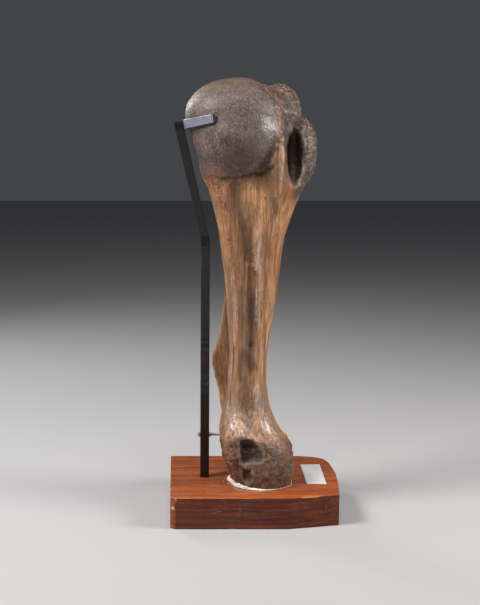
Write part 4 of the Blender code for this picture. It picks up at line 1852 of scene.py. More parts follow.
        move = 0.0007 * cap
        low_rim = ramp(places[:, 2], 0.84, 0.78) * ramp(places[:, 0], -0.112, -0.080)
        move -= 0.0019 * bell(cap_rim + 0.0060, 0.0050) * low_rim
        move += 0.0005 * bell(cap_rim - 0.0030, 0.0030) * low_rim
        move -= 0.0009 * foot
        move += 0.0008 * bell(zones[Layer.FOOT] + 1.6 * ragged + 0.003, 0.005)
        for stroke in self.forms:
            near = stroke.nearness(places)
            if stroke.reach < self.sharp:
                near *= 1.0 + 0.35 * cloud(places, (60.0, 60.0, 30.0), 3, 7.7)
            move += stroke.rise * near

        strings = cloud(places, (120.0, 120.0, 40.0), 4, 2.8)
        for pit in self.pits:
            share = pit.share(places)
            move -= share * (pit.depth - 0.0022 * strings)

        fibres = cloud(places, (150.0, 150.0, 11.0), 4, 1.3)
        move += (1.0 - crust) * 0.00050 * fibres
        move += (1.0 - crust) * 0.0007 * cloud(places, (45.0, 45.0, 8.0), 3, 5.9)
        move += cap * 0.0005 * (cloud(places, 85.0, 4, 2.2) + cloud(places, 30.0, 2, 9.4))
        lumps = cloud(places, 70.0, 5, 4.6)
        move += lobe * (1.0 - cap) * 0.0016 * lumps
        broken = cloud(places, (48.0, 48.0, 60.0), 5, 8.8)
        move += foot * (0.0019 * broken + 0.0011 * lumps)

        spongy = self.tally(self.open_bone, places)
        gaps = cells(places, (0.0062, 0.0062, 0.0072), 0.4)
        eaten = ramp(cloud(places, (120.0, 120.0, 60.0), 3, 6.6), -0.25, 0.35)
        move -= np.minimum(spongy, 1.0) * (0.0026 * ramp(gaps, 0.66, 0.22) * eaten + 0.0010 * eaten)
        move += np.minimum(spongy, 1.0) * 0.0010 * lumps
        scattered = cells(places, (0.013, 0.013, 0.017), 5.2)
        move -= foot * 0.0016 * ramp(scattered, 0.30, 0.10)
        move -= lobe * (1.0 - cap) * 0.0016 * ramp(scattered, 0.34, 0.12)
        move -= (1.0 - crust) * 0.0010 * ramp(cells(places, (0.010, 0.010, 0.022), 2.7), 0.20, 0.08)

        places = places + normals * move[:, None]
        sole = places[:, 2] < self.foot_level + 0.0022
        places[sole, 2] = self.foot_level
        places[:, 2] = np.maximum(places[:, 2], self.foot_level)
        move_to(piece, places)
        return zones

    @staticmethod
    def tally(tints: tuple[Stroke, ...], places: np.ndarray) -> np.ndarray:
        """How strongly the strongest stroke tints each point.

        Args:
            tints: strokes whose rise is their strength.
            places: points on the bone.

        Returns:
            Numbers from 0 to about 1.
        """
        best = np.zeros(len(places))
        for stroke in tints:
            best = np.maximum(best, stroke.rise * stroke.nearness(places))
        return best

    def record(self, piece: bpy.types.Object, zones: dict[Layer, np.ndarray]) -> None:
        """Leaves the zones and tints on the mesh for the finish.

        Args:
            piece: the carved bone.
            zones: metres inside each zone.
        """
        places = places_of(piece)
        for layer, values in zones.items():
            lay_down(piece, layer, values)
        dark = self.tally(self.stains_and_shade, places)
        # The inside of each pit gets painted shade.
        for pit in self.pits:
            dark = np.maximum(dark, pit.stain * pit.share(places))
        lay_down(piece, Layer.FURROW, dark)
        for layer, tints in (
            (Layer.SPONGY, self.open_bone),
            (Layer.WORN_AND_HIGHLIGHT, self.rubbed),
            (Layer.GLOSS, self.gloss_and_highlight),
            (Layer.SHADE, self.brown),
            (Layer.WARM, self.red),
        ):
            lay_down(piece, layer, self.tally(tints, places))
        lay_bulge(piece, 5, 0.0011)


# ---- the block ----------------------------------------------------------------------------


@dataclass
class BaseBlock:
    """The varnished block that carries everything.

    Attributes:
        node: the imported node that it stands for.
        height: its height.
        outline: its outline from above, clockwise from the far left corner.
        rounding: how far its edges are eased.
        socket: middle of the bar's socket, X and Y.
        socket_half: half the socket's width.
        socket_depth: how deep the socket goes.
        cell: spacing of the lines that divide its faces.
        rings: widths of the strips that frame its flat faces.
        levels: heights at which its sides are divided.
        chips: scraped and chipped spots, and how deep each is.
    """

    node: str = "base_block"
    height: float = 0.0706
    outline: tuple[Flat, ...] = metres(
        (-193, 167), (115, 167.2), (150, 161), (171, 150), (182, 137), (188.5, 115), (192, 70),
        (193, 15), (188.5, -50), (184, -98), (178.5, -140), (63.5, -167.2), (-181.8, -167.2),
        (-193, -159),
    )
    rounding: float = 0.0024
    socket: Flat = (-0.1143, -0.0060)
    socket_half: float = 0.0103
    socket_depth: float = 0.0447
    cell: float = 0.012
    rings: tuple[float, ...] = (0.0030, 0.0050)
    levels: tuple[float, ...] = (0.006, 0.012, 0.024, 0.036, 0.048, 0.060, 0.0652)
    chips: tuple[Stroke, ...] = strokes(
        MILLIMETRES,
        {
            "scraped front edge": (3.4, 1.2, (98, -159, 70), (116, -155, 70), (130, -151.5, 69.5)),
            "front left corner": (2.4, 0.7, (-182, -167, 70), (-181, -167, 64)),
            "lower front edge": (2.6, 0.7, (-60, -167, 0.6), (-50, -167, 0.6)),
            "back corner": (3.4, 1.1, (-193, 167, 70), (-191, 167, 60)),
            "right edge": (2.6, 0.7, (191, 80, 70.2), (193, 60, 70.2)),
        },
    )

    def build(self, effects: Effects) -> list[bpy.types.Object]:
        """Builds the block.

        Args:
            effects: the shared effects.

        Returns:
            The one piece that it is.
        """
        bm = self.shape()
        self.open_socket(bm)
        piece = new_object("base_wood", bm, smooth=False)
        self.age(piece)
        return [put_on(piece, Slot.WOOD, Hardwood("varnished hardwood").build(effects), self.node)]

    def shape(self) -> bmesh.types.BMesh:
        """Extrudes the outline, eases its edges and divides its faces.

        Returns:
            The block without its socket.
        """
        bm = bmesh.new()
        corners = [bm.verts.new((x, y, 0.0)) for x, y in self.outline]
        floor = bm.faces.new(corners)
        made = bmesh.ops.extrude_face_region(bm, geom=[floor])
        raised = only(bmesh.types.BMVert, made["geom"])
        bmesh.ops.translate(bm, vec=(0, 0, self.height), verts=raised)
        bmesh.ops.recalc_face_normals(bm, faces=bm.faces)
        ease(bm, bm.edges[:], self.rounding, 4, clamp_overlap=True)
        for ring in self.rings:
            large = flats(bm, Axis.Z, 0.02)
            bmesh.ops.inset_region(bm, faces=large, thickness=ring, depth=0.0)
        for level in self.levels:
            self.slice(bm, (0.0, 0.0, level), Axis.Z)
        for axis, half in ((Axis.X, 0.180), (Axis.Y, 0.156)):
            count = int(half / self.cell)
            for step in range(-count, count + 1):
                self.slice(bm, Vector(axis.value) * step * self.cell, axis)
        return bm

    @staticmethod
    def slice(bm: bmesh.types.BMesh, place: Point, axis: Axis) -> None:
        """Divides the faces along a plane.

        Args:
            bm: the mesh.
            place: a point on the plane.
            axis: the plane's normal.
        """
        geometry = bm.verts[:] + bm.edges[:] + bm.faces[:]
        bmesh.ops.bisect_plane(bm, geom=geometry, dist=1e-5, plane_co=place, plane_no=axis.value)

    def open_socket(self, bm: bmesh.types.BMesh) -> None:
        """Cuts the square socket for the bar into the top.

        Args:
            bm: the block.
        """
        x, y = self.socket
        for side in (-self.socket_half, self.socket_half):
            self.slice(bm, (x + side, 0.0, 0.0), Axis.X)
            self.slice(bm, (0.0, y + side, 0.0), Axis.Y)
        lid = []
        for face in bm.faces:
            middle = face.calc_center_median()
            within = abs(middle.x - x) < self.socket_half and abs(middle.y - y) < self.socket_half
            if within and middle.z > self.height - 1e-4:
                lid.append(face)
        made = bmesh.ops.extrude_face_region(bm, geom=lid)
        sunk = only(bmesh.types.BMVert, made["geom"])
        bmesh.ops.translate(bm, vec=(0, 0, -self.socket_depth), verts=sunk)
        bmesh.ops.delete(bm, geom=[face for face in lid if face.is_valid], context="FACES")

    def edge_distance(self, places: np.ndarray) -> np.ndarray:
        """Distance of each point to the nearest sharp edge.

        Args:
            places: points on the block.

        Returns:
            Distances in metres.
        """
        inward = inside_outline(places[:, :2], self.outline)
        to_flat = np.minimum(self.height - places[:, 2], places[:, 2])
        rim = np.hypot(np.clip(inward, 0.0, None), np.clip(to_flat, 0.0, None))
        corners = (self.outline[0], *self.outline[-2:])
        upright = np.min([np.hypot(places[:, 0] - x, places[:, 1] - y) for x, y in corners], axis=0)
        return np.minimum(rim, upright)

    def age(self, piece: bpy.types.Object) -> None:
        """Gives the block its dents, chips and slight waves.

        Args:
            piece: the block.
        """
        places = places_of(piece)
        normals = normals_of(piece)
        gap = self.edge_distance(places)
        edge = bell(gap, 0.0034)
        dents = ramp(cloud(places, 55.0, 4, 6.1), 0.25, 0.75)
        chip = np.zeros(len(places))
        move = -0.00045 * dents * edge
        for stroke in self.chips:
            near = stroke.nearness(places)
            chip = np.maximum(chip, near)
            move -= stroke.rise * near * (0.75 + 0.5 * cloud(places, 260.0, 3, 2.4))
        open_top = ramp(places[:, 2], 0.069, 0.0704)
        move -= 0.00012 * open_top * (1.0 + cloud(places, 9.0, 2, 3.3))
        away = np.abs(places[:, :2] - np.array(self.socket)).max(axis=1)
        move[away < self.socket_half + 1e-4] = 0.0
        move[places[:, 2] < 1e-4] = 0.0
        move_to(piece, places + normals * move[:, None])
        lay_down(piece, Layer.EDGE, edge)
        lay_down(piece, Layer.CHIP, chip)


# ---- the holder ---------------------------------------------------------------------------


@dataclass
class SupportBar:
    """The bent square bar, with the small welds that hold the strap.

    Attributes:
        node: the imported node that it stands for.
        side: width of the bar.
        rounding: radius of its long edges.
        foot: where it starts, in its socket.
        bend_height: height of the bend's middle, measured along the upright part.
        bend_radius: inner radius of the bend, to the centre line.
        lean: how far the top leans over.
        top: height of its top.
    """

    node: str = "support_bar"
    side: float = 0.020
    rounding: float = 0.0013
    foot: Point = (-0.1143, -0.006, 0.0259)
    bend_height: float = 0.6165
    bend_radius: float = 0.110
    lean: float = math.radians(13.2)
    top: float = 0.8815

    def build(self, effects: Effects) -> list[bpy.types.Object]:
        """Builds the bar and the welds.

        Args:
            effects: the shared effects.

        Returns:
            The bar and the welds.
        """
        finish = PaintedSteel("black painted steel").build(effects)
        bar = self.bar()
        welds = self.welds()
        return [put_on(bar, Slot.BAR, finish, self.node), put_on(welds, Slot.BAR, finish)]

    def bar(self) -> bpy.types.Object:
        """Extrudes and spins the bar's section along its line.

        Returns:
            The bar.
        """
        bm = bmesh.new()
        bmesh.ops.create_grid(bm, x_segments=1, y_segments=1, size=self.side / 2)
        ease(bm, bm.verts[:], self.rounding, 3, "VERTICES")
        straight = [edge for edge in bm.edges if edge.calc_length() > self.side / 2]
        bmesh.ops.subdivide_edges(bm, edges=straight, cuts=6)
        bmesh.ops.translate(bm, vec=self.foot, verts=bm.verts)
        start = self.bend_height - self.bend_radius * math.tan(self.lean / 2)
        tip = self.raise_to(bm, bm.faces[:], start - self.foot[2], Vector(Axis.Z.value), 24)
        middle = (self.foot[0] - self.bend_radius, self.foot[1], start)
        tip = spin(bm, tip, middle, (0.0, -1.0, 0.0), self.lean, 14)
        direction = leaning(self.lean)
        height = sum(face.calc_center_median().z for face in tip) / len(tip)
        self.raise_to(bm, tip, (self.top - height) / direction.z, direction, 10)
        bmesh.ops.recalc_face_normals(bm, faces=bm.faces)
        ease_ends(bm, 0.6 * self.side**2, 0.0009)
        bar = new_object("bar_steel", bm)
        self.mark(bar)
        return bar

    @staticmethod
    def raise_to(
        bm: bmesh.types.BMesh,
        faces: list[bmesh.types.BMFace],
        length: float,
        direction: Vector,
        steps: int,
    ) -> list[bmesh.types.BMFace]:
        """Extrudes faces along a line in equal steps.

        Args:
            bm: the mesh.
            faces: faces to extrude.
            length: how far in all.
            direction: unit vector of the line.
            steps: number of steps.

        Returns:
            The faces at the far end.
        """
        first = True
        for _ in range(steps):
            made = bmesh.ops.extrude_face_region(bm, geom=faces, use_keep_orig=first)
            raised = only(bmesh.types.BMVert, made["geom"])
            bmesh.ops.translate(bm, vec=direction * (length / steps), verts=raised)
            faces = only(bmesh.types.BMFace, made["geom"])
            first = False
        return faces

    def mark(self, bar: bpy.types.Object) -> None:
        """Leaves the edge and strip layers on the bar.

        Args:
            bar: the bar.
        """
        places = places_of(bar)
        start = self.bend_height
        along = places[:, 2]
        shift = np.where(along > start, -(along - start) * math.tan(self.lean), 0.0)
        across = places[:, 0] - self.foot[0] - shift
        deep = places[:, 1] - self.foot[1]
        half = self.side / 2
        gap = np.hypot(
            half - np.minimum(np.abs(across), half), half - np.minimum(np.abs(deep), half)
        )
        lay_down(
            bar, Layer.EDGE, np.maximum(bell(gap, 0.0022), ramp(along, self.top - 0.003, self.top))
        )
        lay_down(bar, Layer.STRIP, np.stack((along, across, deep), axis=1))

    def welds(self) -> bpy.types.Object:
        """Small weld beads above and below the strap, on the right face of the bar.

        Returns:
            The welds.
        """
        bm = bmesh.new()
        for height in (0.8828, 0.8605):
            base = -self.foot[0] + (height - self.bend_height) * math.tan(self.lean)
            face = -base + self.side / 2 / math.cos(self.lean)
            for step in range(7):
                across = self.foot[1] + (step - 3) * 0.0022
                size = 0.0014 + 0.0002 * math.sin(2.7 * step + height * 90)
                place = Matrix.Translation(
                    (face - 0.0002, across, height + 0.0002 * math.cos(4.1 * step))
                )
                shape = place @ Matrix.Diagonal((0.8, 1.1, 1.0, 1.0))
                bmesh.ops.create_uvsphere(
                    bm, u_segments=12, v_segments=8, radius=size, matrix=shape
                )
        welds = new_object("strap_welds", bm)
        modify(welds, "REMESH", mode="VOXEL", voxel_size=0.00035, use_smooth_shade=True)
        use_up(welds)
        places = places_of(welds)
        lay_down(welds, Layer.EDGE, np.full(len(places), 0.1))
        lay_down(welds, Layer.STRIP, places)
        return welds


@dataclass
class Cradle:
    """The bent strap round the ball and the felt inside it.

    Attributes:
        strap_node, felt_node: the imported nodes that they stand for.
        height, end_height: height of the band in its middle and at its ends.
        middle_height: height of the band's middle.
        tilt: how far the band is tipped.
        radius: inner radius of the strap.
        thickness: thickness of the strap.
        half_angle: how far it reaches round on each side.
        felt: thickness of the felt.
        felt_more: how much further the felt reaches round.
        gap: clearance between the two, and between strap and bar.
        bar: the bar that it is welded to.
    """

    strap_node: str = "cradle_strap"
    felt_node: str = "felt_lining"
    height: float = 0.0205
    end_height: float = 0.0175
    middle_height: float = 0.8715
    tilt: float = math.radians(10.5)
    radius: float = 0.1138
    thickness: float = 0.0025
    half_angle: float = math.radians(62)
    felt: float = 0.0016
    felt_more: float = math.radians(2.6)
    gap: float = 0.0003
    bar: SupportBar = field(default_factory=SupportBar)

    def build(self, effects: Effects) -> list[bpy.types.Object]:
        """Builds the strap and the felt.

        Args:
            effects: the shared effects.

        Returns:
            The two pieces.
        """
        steel = PaintedSteel(
            "dark grey steel",
            paint=(0.25, 0.26, 0.31),
            metal=(0.62, 0.63, 0.67),
            metallic=0.5,
            rough=0.33,
            rubbing=0.7,
        )
        strap = self.band("strap_steel", self.radius, self.thickness, self.half_angle, 0.0005)
        lining_radius = self.radius - self.gap - self.felt
        lining = self.band(
            "strap_felt", lining_radius, self.felt, self.half_angle + self.felt_more, 0.0004
        )
        self.roughen(lining)
        return [
            put_on(strap, Slot.STRAP, steel.build(effects), self.strap_node),
            put_on(lining, Slot.FELT, Felt("black felt").build(effects), self.felt_node),
        ]

    def place(self) -> Matrix:
        """Where the band's centre and axes are, its middle against the leaning bar's right face.

        Returns:
            The placement.
        """
        lean = self.bar.lean
        across = Vector((math.cos(lean), 0.0, math.sin(lean)))
        direction = leaning(lean)
        start = self.bar.bend_height - self.bar.bend_radius * math.tan(lean / 2)
        arc_end = Vector(
            (
                self.bar.foot[0] - self.bar.bend_radius * (1 - math.cos(lean)),
                self.bar.foot[1],
                start + self.bar.bend_radius * math.sin(lean),
            )
        )
        along = arc_end + direction * ((self.middle_height - arc_end.z) / direction.z)
        corner = math.sin(lean - self.tilt) * self.height / 2
        face = along + across * (self.bar.side / 2 + self.gap + corner)
        out = Vector((math.cos(self.tilt), 0.0, math.sin(self.tilt)))
        turn = Matrix((out, Vector(Axis.Y.value), leaning(self.tilt))).transposed().to_4x4()
        return Matrix.Translation(face + out * (self.radius + self.thickness)) @ turn

    def band(
        self, name: str, radius: float, thickness: float, half_angle: float, rounding: float
    ) -> bpy.types.Object:
        """Spins a flat section into a band, lower at its ends.

        Args:
            name: name of the piece.
            radius: inner radius.
            thickness: thickness.
            half_angle: how far it reaches on each side.
            rounding: radius of its edges.

        Returns:
            The band in its place.
        """
        bm = bmesh.new()
        bmesh.ops.create_grid(bm, x_segments=1, y_segments=1, size=0.5)
        bmesh.ops.scale(bm, vec=(thickness, self.height, 1.0), verts=bm.verts)
        ease(bm, bm.verts[:], rounding, 2, "VERTICES")
        tall = [edge for edge in bm.edges if edge.calc_length() > self.height / 2]
        bmesh.ops.subdivide_edges(bm, edges=tall, cuts=9)
        stand = Matrix.Translation((-(radius + thickness / 2), 0.0, 0.0)) @ Matrix.Rotation(
            math.radians(90), 4, "X"
        )
        bmesh.ops.transform(bm, matrix=Matrix.Rotation(-half_angle, 4, "Z") @ stand, verts=bm.verts)
        spin(bm, bm.faces[:], (0.0, 0.0, 0.0), Axis.Z.value, 2 * half_angle, 72)
        bmesh.ops.recalc_face_normals(bm, faces=bm.faces)
        ease_ends(bm, 0.6 * thickness * self.height, rounding)
        band = new_object(name, bm)
        places = places_of(band)
        turned = np.arctan2(places[:, 1], -places[:, 0])
        share = np.abs(turned) / half_angle
        places[:, 2] *= 1.0 + (self.end_height / self.height - 1.0) * np.clip(share, 0.0, 1.0)
        outward = np.hypot(places[:, 0], places[:, 1]) - radius
        lay_down(band, Layer.STRIP, np.stack((turned * radius, places[:, 2], outward), axis=1))
        rim = np.minimum(
            self.end_height / 2 - np.abs(places[:, 2]), radius * (half_angle - np.abs(turned))
        )
        lay_down(band, Layer.EDGE, bell(np.clip(rim, 0.0, None), 0.0014))
        move_to(band, places)
        band.data.transform(self.place())
        return band

    @staticmethod
    def roughen(lining: bpy.types.Object) -> None:
        """Gives the felt its soft uneven surface.

        Args:
            lining: the felt.
        """
        places = places_of(lining)
        normals = normals_of(lining)
        tufts = cloud(places, 700.0, 2, 1.9) - 0.6
        move_to(lining, places + normals * (0.00022 * tufts)[:, None])


@dataclass
class PinSet:
    """The threaded pin and its two nuts.

    Attributes:
        pin_node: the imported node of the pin.
        nut_nodes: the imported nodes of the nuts.
        radius: radius of the pin over its thread.
        thread_depth: how deep the thread is cut.
        pitch: distance between the turns of the thread.
        turn_steps: steps of a turn of the thread.
        thread_end: where the thread ends and the plain pin starts.
        flats: width of a nut across its flats.
    """

    pin_node: str = "support_pin"
    nut_nodes: tuple[str, str] = ("pin_nut_left", "pin_nut_right")
    radius: float = 0.0028
    thread_depth: float = 0.00042
    pitch: float = 0.0010
    turn_steps: int = 20
    thread_end: float = -0.0945
    flats: float = 0.0095

    def build(self, effects: Effects) -> list[bpy.types.Object]:
        """Builds the pin and the nuts.

        Args:
            effects: the shared effects.

        Returns:
            The three pieces.
        """
        finish = BareSteel("bright steel").build(effects)
        pieces = [put_on(self.pin(), Slot.PIN, finish, self.pin_node)]
        for node in self.nut_nodes:
            pieces.append(put_on(self.nut(node), Slot.PIN, finish, node))
        return pieces

    @staticmethod
    def rod(bm: bmesh.types.BMesh, start: Vector, length: float, radius: float, sides: int) -> None:
        """Adds a rod along X.

        Args:
            bm: the mesh.
            start: middle of its left end.
            length: its length.
            radius: its radius.
            sides: how many flats it has.
        """
        middle = Matrix.Translation(start + Vector((length / 2, 0.0, 0.0)))
        place = middle @ Matrix.Rotation(math.radians(90), 4, "Y")
        shape = {"radius1": radius, "radius2": radius, "depth": length, "matrix": place}
        bmesh.ops.create_cone(bm, cap_ends=True, segments=sides, **shape)

    def pin(self) -> bpy.types.Object:
        """A rod with a rolled thread at its left end.

        Returns:
            The pin.
        """
        low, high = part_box(self.pin_node)
        y, z = (low.y + high.y) / 2, (low.z + high.z) / 2
        bm = bmesh.new()
        core = self.radius - self.thread_depth
        self.rod(bm, Vector((low.x, y, z)), self.thread_end - low.x, core, 32)
        plain = Vector((self.thread_end, y, z))
        self.rod(bm, plain, high.x - self.thread_end, self.radius - 0.00005, 32)
        short = [edge for edge in bm.edges if edge.calc_length() < 0.001]
        ease(bm, [edge for edge in short if edge.calc_face_angle(0.0) > 1.0], 0.0003, 2)
        run = self.thread_end - low.x
        self.add_thread(bm, Vector((low.x + 0.0004, y, z)), run - 0.0012)
        pin = new_object("pin_steel", bm)
        lay_down(
            pin, Layer.EDGE, ramp(np.hypot(*(places_of(pin)[:, 1:] - (y, z)).T), core, self.radius)
        )
        return pin

    def add_thread(self, bm: bmesh.types.BMesh, start: Vector, length: float) -> None:
        """Winds the thread's ridge round the pin.

        Args:
            bm: the pin's mesh.
            start: a point on the axis where the thread starts.
            length: length of the thread.
        """
        steps = int(length / self.pitch * self.turn_steps)
        foot = self.radius - self.thread_depth - 0.00012
        corners = ((0.0, foot), (0.42, self.radius), (0.58, self.radius), (0.98, foot))
        ridge = [
            bm.verts.new(start + Vector((along * self.pitch, 0.0, out))) for along, out in corners
        ]
        section = bm.faces.new(ridge)
        angle = 2 * math.pi * steps / self.turn_steps
        climb = (self.pitch / self.turn_steps, 0.0, 0.0)
        spin(bm, [section], start, Axis.X.value, angle, steps, climb)
        bmesh.ops.recalc_face_normals(bm, faces=bm.faces)

    def nut(self, node: str) -> bpy.types.Object:
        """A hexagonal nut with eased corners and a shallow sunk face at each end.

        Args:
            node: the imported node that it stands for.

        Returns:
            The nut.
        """
        low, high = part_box(node)
        middle = (low + high) / 2
        bm = bmesh.new()
        corner = self.flats / 2 / math.cos(math.pi / 6)
        self.rod(bm, Vector((low.x, middle.y, middle.z)), high.x - low.x, corner, 6)
        ease(bm, bm.edges[:], 0.00045, 3)
        for ring, sink in ((0.0011, 0.0), (0.0005, -0.0004)):
            large = flats(bm, Axis.X, 2e-5)
            bmesh.ops.inset_region(bm, faces=large, thickness=ring, depth=sink)
        nut = new_object(node + "_steel", bm, smooth=False)
        gap = corner - np.hypot(*(places_of(nut)[:, 1:] - (middle.y, middle.z)).T)
        lay_down(nut, Layer.EDGE, bell(np.clip(gap, 0.0, None), 0.0006))
        return nut


# ---- plaster and card ---------------------------------------------------------------------


@dataclass
class PlasterBedding:
    """The ragged plaster round the foot of the bone.

    Attributes:
        node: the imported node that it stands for.
        crumbs: how many loose crumbs lie beside it.
        middle: middle of the ring, X and Y.
        thick_side: direction in which the plaster is thickest.
        spread: steps that spread the crumbs' direction, distance and size evenly.
    """

    node: str = "plaster_bedding"
    crumbs: int = 26
    middle: Flat = (0.015, -0.002)
    thick_side: float = math.radians(-136)
    spread: Point = (0.618034, 0.7548777, 0.5698403)

    def build(self, effects: Effects) -> list[bpy.types.Object]:
        """Builds the plaster.

        Args:
            effects: the shared effects.

        Returns:
            The one piece that it is.
        """
        bm = copy_of_node(self.node)
        bmesh.ops.subdivide_edges(bm, edges=bm.edges[:], cuts=3, use_grid_fill=True)
        bmesh.ops.triangulate(bm, faces=bm.faces)
        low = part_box(self.node)[0]
        self.scatter(bm, low.z)
        bmesh.ops.recalc_face_normals(bm, faces=bm.faces)
        piece = new_object("plaster_ragged", bm)
        places = places_of(piece)
        normals = normals_of(piece)
        lumps = cloud(places, 210.0, 5, 2.6)
        free = ramp(places[:, 2], low.z + 0.0002, low.z + 0.0012)
        shift = normals * (free * 0.0011 * lumps)[:, None]
        shift[:, :2] += (free * 0.0005)[:, None] * normals[:, :2]
        places = places + shift
        away = places[:, :2] - np.array(self.middle)
        turned = np.arctan2(away[:, 1], away[:, 0]) - self.thick_side
        thin = 1.0 - ramp(np.cos(turned), 0.55, 0.97)
        places[:, 2] = low.z + (places[:, 2] - low.z) * (1.0 - 0.62 * thin)
        places[:, :2] -= away * (0.020 * thin)[:, None]
        places[:, 2] = np.maximum(places[:, 2], low.z)
        move_to(piece, places)
        lay_bulge(piece, 3, 0.0004)
        return [put_on(piece, Slot.PLASTER, Plaster("white plaster").build(effects), self.node)]

    def scatter(self, bm: bmesh.types.BMesh, level: float) -> None:
        """Adds small crumbs on the block beside the plaster.

        Args:
            bm: the plaster's mesh.
            level: height of the block's top.
        """
        for number in range(self.crumbs):
            turned, farther, larger = (number * step % 1.0 for step in self.spread)
            angle = math.radians(196 + 70 * turned)
            far = 0.004 + 0.012 * farther**2
            edge = Vector((0.015 + 0.082 * math.cos(angle), -0.010 + 0.100 * math.sin(angle), 0.0))
            spot = edge + Vector((math.cos(angle), math.sin(angle), 0.0)) * far
            size = 0.0005 + 0.0011 * larger**2
            lying = Matrix.Translation((spot.x, spot.y, level + size * 0.5))
            place = lying @ Matrix.Diagonal((1.2, 0.9, 0.7, 1.0))
            bmesh.ops.create_icosphere(bm, subdivisions=2, radius=size, matrix=place)


@dataclass
class LabelCard:
    """The bare card that lies on the block.

    Attributes:
        node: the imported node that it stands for.
        width, length, thickness: its size.
        middle: where its middle lies, X and Y.
        turn: how far it is turned.
        lift: how far one corner stands up.
    """

    node: str = "label_card"
    width: float = 0.0465
    length: float = 0.152
    thickness: float = 0.0008
    middle: Flat = (0.1385, 0.0104)
    turn: float = math.radians(-1.2)
    lift: float = 0.0010

    def build(self, effects: Effects) -> list[bpy.types.Object]:
        """Builds the card.

        Args:
            effects: the shared effects.

        Returns:
            The one piece that it is.
        """
        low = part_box(self.node)[0]
        bm = bmesh.new()
        bmesh.ops.create_grid(bm, x_segments=12, y_segments=36, size=0.5)
        bmesh.ops.scale(bm, vec=(self.width, self.length, 1.0), verts=bm.verts)
        corners = [vert for vert in bm.verts if len(vert.link_edges) == 2]
        ease(bm, corners, 0.0012, 3, "VERTICES")
        piece = new_object("card_bare", bm)
        places = places_of(piece)
        across, along = places[:, 0] / self.width, places[:, 1] / self.length
        places[:, 2] = self.lift * (np.clip(along, 0.0, None) * 2) ** 3 * (0.5 + across)
        move_to(piece, places)
        rim = np.minimum(
            self.width / 2 - np.abs(places[:, 0]), self.length / 2 - np.abs(places[:, 1])
        )
        lay_down(piece, Layer.EDGE, bell(rim, 0.0015))
        lie = Vector((*self.middle, low.z))
        piece.data.transform(Matrix.Translation(lie) @ Matrix.Rotation(self.turn, 4, "Z"))
        modify(piece, "SOLIDIFY", thickness=self.thickness, offset=1.0)
        use_up(piece)
        return [put_on(piece, Slot.CARD, WhiteCard("white card").build(effects), self.node)]


# ---- the studio ---------------------------------------------------------------------------


@dataclass(frozen=True)
class Softbox:
    """A soft square light.

    Attributes:
        name: its name.
        place: where it stands.
        aim: what it points at.
        size: width and height.
        power: its power in watts.
        colour: its colour.
    """

    name: str
    place: Point
    aim: Point
    size: Flat
    power: float
    colour: Colour = (1.0, 1.0, 1.0)

    def set_up(self) -> None:
        """Puts the light in the scene."""
        light = bpy.data.lights.new(self.name, "AREA")
        light.shape = "RECTANGLE"
        light.size, light.size_y = self.size
        light.energy = self.power
        light.color = self.colour
        holder = bpy.data.objects.new(self.name, light)
        holder.location = self.place
        away = Vector(self.place) - Vector(self.aim)
        holder.rotation_euler = away.to_track_quat("Z", "Y").to_euler()
        bpy.context.scene.collection.objects.link(holder)


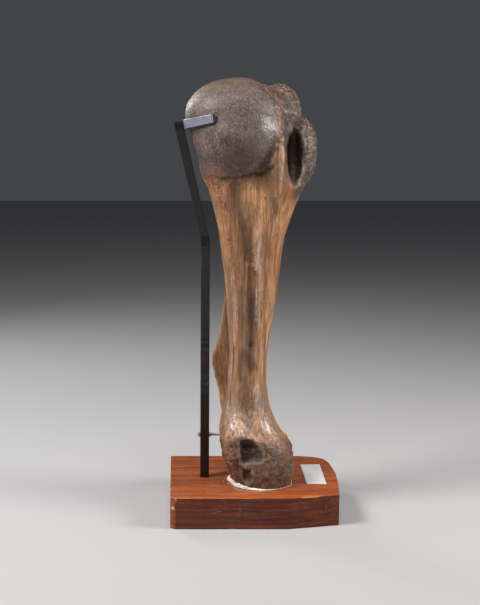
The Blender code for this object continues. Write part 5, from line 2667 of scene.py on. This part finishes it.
@dataclass(frozen=True)
class Studio:
    """Floor, light and camera.

    Attributes:
        floor_size: half the width of the floor.
        world: colour and strength of the light from all round.
        boxes: the soft lights.
        camera_place: where the camera stands.
        pitch: how far it looks down.
        focal_pixels: focal length in pixels of the photograph's frame.
        frame_pixels: width and height of that frame.
        axis_pixel: column that the camera's axis passes through.
    """

    floor_size: float = 14.0
    world: tuple[Colour, float] = ((0.80, 0.83, 0.90), 0.07)
    boxes: tuple[Softbox, ...] = (
        Softbox(
            "left softbox",
            (-1.85, -0.80, 2.30),
            (0.0, 0.0, 0.50),
            (0.9, 0.9),
            92.0,
            (1.0, 0.97, 0.93),
        ),
        Softbox(
            "right softbox",
            (1.95, -0.55, 1.45),
            (0.0, 0.0, 0.50),
            (0.8, 1.0),
            54.0,
            (1.0, 0.96, 0.92),
        ),
        Softbox(
            "high softbox",
            (0.10, -0.90, 3.30),
            (0.0, 0.0, 0.30),
            (0.8, 0.8),
            28.0,
            (1.0, 0.98, 0.95),
        ),
        Softbox(
            "back softbox",
            (-1.60, 1.90, 1.75),
            (0.0, 0.0, 0.70),
            (0.6, 1.0),
            26.0,
            (0.95, 0.97, 1.0),
        ),
    )
    camera_place: Point = (-0.1825, -2.5059, 0.8314)
    pitch: float = math.radians(8.0796)
    focal_pixels: float = 1116.53
    frame_pixels: tuple[int, int] = (480, 605)
    axis_pixel: float = 175.0

    def set_up(self) -> None:
        """Builds the studio."""
        bm = bmesh.new()
        bmesh.ops.create_grid(bm, x_segments=8, y_segments=8, size=self.floor_size)
        floor = new_object("studio_floor", bm)
        floor.data.materials.append(StudioFloor("pale floor").build())
        world = bpy.data.worlds.new("studio")
        world.use_nodes = True
        background = world.node_tree.nodes["Background"]
        background.inputs["Color"].default_value = (*self.world[0], 1.0)
        background.inputs["Strength"].default_value = self.world[1]
        bpy.context.scene.world = world
        for box in self.boxes:
            box.set_up()
        self.set_camera()
        bpy.context.scene.view_settings.view_transform = "Standard"

    def set_camera(self) -> None:
        """Puts the camera at the photograph's viewing angle."""
        long_side = max(self.frame_pixels)
        lens = bpy.data.cameras.new("camera")
        lens.sensor_width = 36.0
        lens.lens = self.focal_pixels / long_side * lens.sensor_width
        lens.shift_x = (self.frame_pixels[0] / 2 - self.axis_pixel) / long_side
        camera = bpy.data.objects.new("camera", lens)
        camera.location = self.camera_place
        camera.rotation_euler = (math.pi / 2 - self.pitch, 0.0, 0.0)
        bpy.context.scene.collection.objects.link(camera)
        bpy.context.scene.camera = camera


def main() -> None:
    """Builds every piece in order and reports each."""
    logging.basicConfig(level=logging.INFO, format="%(message)s")
    effects = Effects()
    for maker in (
        Bone(), BaseBlock(), SupportBar(), Cradle(), PinSet(), PlasterBedding(), LabelCard()
    ):
        for piece in maker.build(effects):
            piece.data.calc_loop_triangles()
            logging.info("%s: %d triangles", piece.name, len(piece.data.loop_triangles))
    Studio().set_up()


if __name__ == "__main__":
    main()
